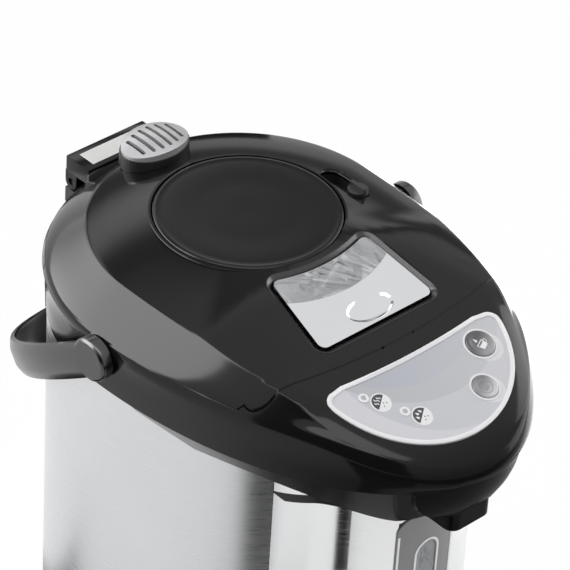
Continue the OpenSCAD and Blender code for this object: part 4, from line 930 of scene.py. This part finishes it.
coverPiece = makeSpoutCover()
soften(coverPiece, 0.4, 40, 2)
finishPiece(coverPiece, "pot", coats["under"], ["spout_cover"], 34)
print("underside made", len(coverPiece.data.polygons))

# ---- carrying bail ----
bail = {
    "halfW": 110, "reach": 146, "high": 20, "thick": 6, "droop": 35, "steps": 150, "power": 2.6,
    # half of the band's section, outward and up, in shares of its thickness and height
    "half": [(0.42, 0.29), (0.22, 0.44), (0.1, 0.49), (-0.28, 0.5), (-0.4, 0.46), (-0.46, 0.36)],
    "outer": (0.5, 0.2),
    "knuckle": [(12.3, 0), (12.3, 4.6), (12.05, 5.4), (11.4, 6.2), (10.5, 6.7)],
    "knuckleIn": 3, "eyeR": 4.02,
}
bailPlace = matrixAt((0, *bailAxis), -bail["droop"])


def bailPoint(degrees):
    c, s = math.cos(math.radians(degrees)), math.sin(math.radians(degrees))
    k = 2 / bail["power"]
    return Vector((math.copysign(abs(c) ** k, c) * bail["halfW"], abs(s) ** k * bail["reach"]))


def makeBail():
    half, (far, up) = bail["half"], bail["outer"]
    section = [(c, -h) for c, h in half] + half[::-1] + [(far, up), (far, -up)]
    rings = []
    for k in range(bail["steps"] + 1):
        # closer steps near the ends, where the curve turns sharply
        degrees = 90 - 90 * math.copysign(abs(1 - 2 * k / bail["steps"]) ** 0.8, 1 - 2 * k / bail["steps"])
        a, b = bailPoint(max(degrees - 0.6, 0)), bailPoint(min(degrees + 0.6, 180))
        out = Vector((b.y - a.y, a.x - b.x)).normalized()
        p = bailPoint(degrees)
        rings.append([(p.x + out.x * c * bail["thick"], p.y + out.y * c * bail["thick"], h * bail["high"])
                      for c, h in section])
    band = loft("carryBail", rings, None, bailPlace)
    for side in (-1, 1):
        place = bailPlace @ sideways(side * (bail["halfW"] - bail["knuckleIn"]), 0, 0, side)
        carve(band, lathe("knuckle", bail["knuckle"], 96, place), "UNION")
        carve(band, prism("eye", circle(bail["eyeR"], 48), -5, 4.8, place))
    return band


bailPiece = makeBail()
finishPiece(bailPiece, "bail", coats["handle"], ["carry_bail"], 24)
print("bail made", len(bailPiece.data.polygons))

# ---- pump disc ----
disc = {
    "r": 50.3, "top": 370, "skirt": 16, "dish": 0.3, "flat": 20,
    "rim": [(0, 1.5), (0.12, 0.9), (0.45, 0.4), (1.0, 0.1), (1.7, 0), (2.6, 0.06)],
}


def makeDisc():
    r, top = disc["r"], disc["top"]
    profile = [(0.01, top - 3.9), (r - 2.2, top - 3.9)]
    profile += [(side, top - disc["skirt"]) for side in (r - 2.2, r)]
    profile += [(r - inward, top - down) for inward, down in disc["rim"]]
    edge = r - 3.4
    for k in range(13):
        share = 1 - k / 12
        radius = disc["flat"] + (edge - disc["flat"]) * share
        profile.append((radius, top - 0.12 - disc["dish"] * (1 - share * share * (3 - 2 * share))))
    profile.append((0.01, top - 0.12 - disc["dish"] - 0.15))
    return lathe("pumpDisc", profile, 180)


discPiece = makeDisc()
finishPiece(discPiece, "disc", coats["disc"], ["pump_disc"], 40)

# ---- lid lever in its bezel ----
leverParts = {
    "depth": 11, "floor": 0.9, "rim": 3.0, "skirt": 8.5, "plate": 2.6, "gap": 0.95,
    "scoopR": 62, "scoopAt": 59.5, "scoopDeep": 2.7, "oval": (2.2, -35.6, 15.2, 8.2), "ovalDeep": 1.0,
    "pin": (-3, -6), "eyeX": 24, "eyeWide": 4, "eyeR": 2.6, "eyeHole": 1.35,
}


def makeBezel():
    s = leverParts
    bezel = prism("leverBezel", leverPlan(s["rim"]), -s["depth"], 0.35, leverPlace)
    steps = [(0.25, s["floor"] - s["depth"]), (0.25, -1.5), (0.5, -1.2),
             (s["rim"] - 0.35, 0.25), (s["rim"] - 0.3, 8)]
    room = [[(x, y, z) for x, y in leverPlan(grow)] for grow, z in steps]
    return carve(bezel, loft("bezelRoom", room, None, leverPlace))


def makeLever():
    s = leverParts
    plate = prism("lidLever", leverPlan(-s["gap"]), -s["skirt"], 0, leverPlace)
    # a finger scoop runs round the pump disc; the plate is hollow below it
    axisPlace = leverPlace @ Matrix.Translation(Vector((0, -leverShape["y"], 0)))
    ring = arc((s["scoopAt"], s["scoopR"] - s["scoopDeep"]), s["scoopR"], -125, -55, 120)
    ring = [(ring[0][0], 30)] + ring + [(ring[-1][0], 30)]
    lower = [(r, z - s["plate"]) for r, z in ring]

    def around(name, section):
        turns = [math.radians(-160 + 140 * k / 180) for k in range(181)]
        rings = [[(r * math.cos(a), r * math.sin(a), z) for r, z in section] for a in turns]
        return loft(name, rings, None, axisPlace)

    under = prism("under", leverPlan(-3), -12, -s["plate"], leverPlace)
    carve(under, around("keepUnder", lower[1:-1] + [(120, 30), (20, 30)]))
    carve(plate, under)
    carve(plate, around("scoop", ring))
    deep = s["ovalDeep"]
    levels = ((3.4, -deep), (2.4, -deep + 0.04), (1.7, -deep * 0.8), (1.0, -deep * 0.42), (0.5, -deep * 0.14),
              (0.15, 0.01), (0, 6))
    tool = [[(x, y, z) for x, y in oval(s["oval"][2] - cut, s["oval"][3] - cut, 96, s["oval"][:2])]
            for cut, z in levels]
    carve(plate, loft("oval", tool, None, leverPlace))
    eyes = []
    for side in (-1, 1):
        place = leverPlace @ sideways(side * s["eyeX"] - s["eyeWide"] / 2, *s["pin"])
        eyes.append(ringPiece("eye", (0, 0), s["eyeR"], s["eyeHole"], 0, s["eyeWide"], place))
    return soften(joined("lidLever", [plate] + eyes), 0.3, 40, 3)


bezelPiece = makeBezel()
finishPiece(bezelPiece, "lid", coats["frame"], ["lever_tray"], 30)
leverPiece = makeLever()
finishPiece(leverPiece, "lever", coats["chrome"], ["lid_lever"], None)
print("lever made", len(leverPiece.data.polygons))

# ---- panel prints and buttons ----
printLayer = {"white": 0.05, "ink": 0.09, "border": 0.4}


def stroke(points, width, low, high):  # a flat line through the points
    left, right = [], []
    for i, point in enumerate(points):
        a, b = Vector(points[max(i - 1, 0)]), Vector(points[min(i + 1, len(points) - 1)])
        along = (b - a).normalized() * width / 2
        left.append((point[0] - along.y, point[1] + along.x))
        right.append((point[0] + along.y, point[1] - along.x))
    if len(points) == 2:
        return prism("stroke", [left[1], left[0], right[0], right[1]], low, high, deckPlace)
    return prism("stroke", left[::-1] + right, low, high, deckPlace)


def turned(points, centre, degrees):
    c, s = math.cos(math.radians(degrees)), math.sin(math.radians(degrees))
    return [(centre[0] + (x * c - y * s), centre[1] + (x * s + y * c)) for x, y in points]


def wave(x, y0, y1):
    return [(x + 0.45 * math.sin(2 * math.pi * k / 12), y0 + (y1 - y0) * k / 12) for k in range(13)]


def makePrints():
    s, top, over = panelShape, printLayer["white"], printLayer["ink"]
    white, ink = [], []
    for spot in s["lamps"]:
        white.append(ringPiece("lampRing", spot, s["lampR"] + 0.35, 1.45, 0.0, 0.45, deckPlace))
    for number, spot in enumerate(s["icons"]):
        white.append(prism("iconDisc", circle(s["iconR"], 72, spot), 0.0, top, deckPlace))
        half = turned(arc((0, 0), s["iconR"] - 0.75, 0, 180, 40), spot, s["iconTurn"])
        ink.append(prism("iconHalf", half, 0.0, over, deckPlace))
        for k in (-1, 0, 1):
            if number == 0:  # steam
                mark = turned(wave(k * 1.9, 0.7, 4.0 - abs(k)), spot, s["iconTurn"])
                white.append(stroke(mark, 0.55, 0.0, over + 0.03))
            else:  # drops
                high = 0.9 * (k == 0)
                drop = arc((k * 2.2, 1.6 + high), 0.75, 180, 360, 10) + [(k * 2.2, 3.2 + high)]
                white.append(prism("drop", turned(drop, spot, s["iconTurn"]), 0.0, over + 0.03, deckPlace))
        for speck in turned([(-1.6, -2.2), (1.2, -2.9), (0.2, -1.4)], spot, s["iconTurn"]):
            ink.append(prism("speck", circle(0.35, 20, speck), 0.0, over, deckPlace))
    for x, y, r in buttonSpots.values():
        white.append(ringPiece("buttonRing", (x, y), r + 1.35, r + 0.3, 0.0, 0.35, deckPlace))
    return white, ink


white, ink = makePrints()
whitePiece = joined("panelPrint", white)
finishPiece(whitePiece, "pot", coats["white"], [], 30)
inkPiece = joined("panelInk", ink)
finishPiece(inkPiece, "pot", coats["ink"], [], 30)

borderPiece = prism("panelBorder", panelPlan(0), 0, printLayer["border"], deckPlace)
carve(borderPiece, prism("inside", panelPlan(-panelShape["border"]), -1, 2, deckPlace))
soften(borderPiece, 0.14, 50, 2)
finishPiece(borderPiece, "pot", coats["white"], ["panel_border"], 40)

faceR = 22


def dishLevel(radius):
    return 0.25 + faceR - math.sqrt(faceR ** 2 - radius ** 2)


def makeButton(name, centre, r):
    dish = r - 1.5
    profile = [(0.01, -1.5), (r - 2, -1.5), (r - 2, -4.6), (r + 1.4, -4.6), (r + 1.4, -3.4), (r, -3.4),
               (r, 0.55), (r - 0.15, 0.9), (r - 0.5, 1.1), (r - 0.9, 1.16)]
    profile += [(dish * k / 10 if k else 0.01, dishLevel(dish * k / 10)) for k in range(10, -1, -1)]
    return lathe(name, profile, 96, deckPlace @ Matrix.Translation(Vector((*centre, 0))))


def onDish(piece, centre, lift):  # lays a flat print on a button's dished face
    turn = deckPlace.inverted()
    for vertex in piece.data.vertices:
        p = turn @ (vertex.co * 1000)
        p.z = dishLevel(math.hypot(p.x - centre[0], p.y - centre[1])) + lift * (p.z > 0.5)
        vertex.co = (deckPlace @ p) * 0.001
    return piece


def buttonMarks(kind, centre):
    def line(points, width=0.5):
        return onDish(stroke(turned(points, centre, 28), width, 0, 1), centre, 0.06)

    def patch(points, lift):
        return onDish(prism("patch", turned(points, centre, 28), 0, 1, deckPlace), centre, lift)

    if kind == "dispense":  # a drop falling into a cup
        cup = [(-2.6, 0.6), (2.6, 0.6), (1.9, -3.2), (-1.9, -3.2), (-2.6, 0.6)]
        return [line(cup[k:k + 2]) for k in range(4)] + [
            line([(2.5, -0.2), (3.9, -0.4), (3.7, -2.0), (2.2, -2.4)], 0.4),
            patch([(-1.9, -3.0), (1.9, -3.0), (2.3, -0.6), (-2.2, -0.6)], 0.05),
            patch(arc((0, 2.6), 0.8, 180, 360, 10) + [(0, 4.6)], 0.05)]
    rim = ringPiece("lockRing", centre, 4.3, 3.85, 0, 1, deckPlace)
    return [onDish(rim, centre, 0.06), patch([(-1.7, -2.0), (1.7, -2.0), (1.7, 0.4), (-1.7, 0.4)], 0.06),
            line(arc((0, 0.7), 1.15, 0, 180, 12), 0.45)]


for kind, (x, y, r) in buttonSpots.items():
    cap = makeButton(kind + "Button", (x, y), r)
    finishPiece(cap, kind, coats[kind], [kind + "_button"], 40)
    marks = joined(kind + "Mark", buttonMarks(kind, (x, y)))
    finishPiece(marks, kind, coats["white" if kind == "dispense" else "markGrey"], [], 40)
print("panel made")

# ---- gauge marks, hinge label ----
gaugeMarks = {
    "floor": 50, "perLitre": 36, "sizeMm": 7.2, "faceY": -148.15, "thickMm": 0.04, "arrowUp": 6.6,
    "slot": (8.6, 71, 245, 1.3), "slotProud": (0.95, 1.15),
    "lines": (18.9, 20.1, 66, 254), "linesProud": 0.92,
}


def makeNumber(text, z):
    curve = bpy.data.curves.new("number", "FONT")
    curve.body = text
    curve.size = gaugeMarks["sizeMm"] * 0.001
    curve.align_x = curve.align_y = "CENTER"
    curve.extrude = gaugeMarks["thickMm"] * 0.001
    letters = linked("number", curve)
    flat = bpy.data.meshes.new_from_object(letters.evaluated_get(bpy.context.evaluated_depsgraph_get()))
    bpy.data.objects.remove(letters)
    place = Matrix.Translation(Vector((0, gaugeMarks["faceY"], z)) * 0.001)
    flat.transform(place @ Matrix.Rotation(math.radians(90), 4, "X"))
    return linked("number", flat)


def makeArrow(z):
    g = gaugeMarks
    points = [(x, g["faceY"] - g["thickMm"] * k, z + g["arrowUp"] + h)
              for k in (0, 1) for x, h in ((-1.6, 0), (1.6, 0), (0, -1.8))]
    return makeMesh("arrow", points, [(2, 1, 0), (3, 4, 5), (0, 1, 4, 3), (1, 2, 5, 4), (2, 0, 3, 5)])


marks = []
for litres in range(1, 6):
    markZ = gaugeMarks["floor"] + gaugeMarks["perLitre"] * litres
    marks += [makeNumber(str(litres) + ".0", markZ), makeArrow(markZ)]


def onColumn(outline, proud):  # an outline laid this proud of the column's curved front
    radius = column["frontR"] + proud
    return [(x, column["axisY"] - math.sqrt(radius ** 2 - x * x), z) for x, z in outline]


def slotLine(half, low, high, width):  # the white line round a tall slot with round ends
    outer = stadium(0, low + half, high - half, half)
    inner = stadium(0, low + half, high - half, half - width)
    count = len(outer)
    points, faces = [], []
    for proud in gaugeMarks["slotProud"]:
        points += onColumn(outer, proud) + onColumn(inner, proud)
    for i in range(count):
        j = (i + 1) % count
        faces += [(2 * count + i, 2 * count + j, 3 * count + j, 3 * count + i), (j, i, count + i, count + j),
                  (i, j, 2 * count + j, 2 * count + i), (count + j, count + i, 3 * count + i, 3 * count + j)]
    return makeMesh("slotLine", points, faces)


def trimLine(side):
    near, far, low, high = gaugeMarks["lines"]
    outline = [(side * near, low), (side * far, low), (side * far, high), (side * near, high)][::side]
    return loft("mark", [onColumn(outline, gaugeMarks["linesProud"] + thick) for thick in (0, 0.2)])


borderLine = slotLine(*gaugeMarks["slot"])
finishPiece(borderLine, "pot", coats["white"], [], 40)
borderLine.name = "gaugeBorder"
edgePiece = joined("trimLines", [trimLine(side) for side in (-1, 1)])
finishPiece(edgePiece, "pot", coats["white"], [], 40)
numberPiece = joined("gaugeNumbers", marks)
finishPiece(numberPiece, "pot", coats["ink"], [], 30)

labelShape = {"x": (-21, 17), "y": (100.2, 111.8), "z": (353.0, 353.12)}
labelPiece = box("hingeLabel", *zip(*labelShape.values()))
soften(labelPiece, 0.05, 50, 1)
finishPiece(labelPiece, "lid", coats["labelPaper"], [], 30)

print("marks made")

# ---- soft pump parts ----
# they sit under the disc; copies stand for the two nodes
softParts = {
    "bellows": ("pumpBellows", "seal", "seal_rubber"), "pump_spring": ("pumpSpring", "pin", "pin_steel"),
}
for softNode, (softName, softCoat, softSlot) in softParts.items():
    soft = linked(softName, nodes[softNode].data.copy())
    soft.matrix_world = nodes[softNode].matrix_world.copy()
    finishPiece(soft, "lid", coats[softCoat], [softNode])
    heights = [(soft.matrix_world @ vertex.co).z for vertex in soft.data.vertices]
    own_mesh(soft)
print("soft parts made")
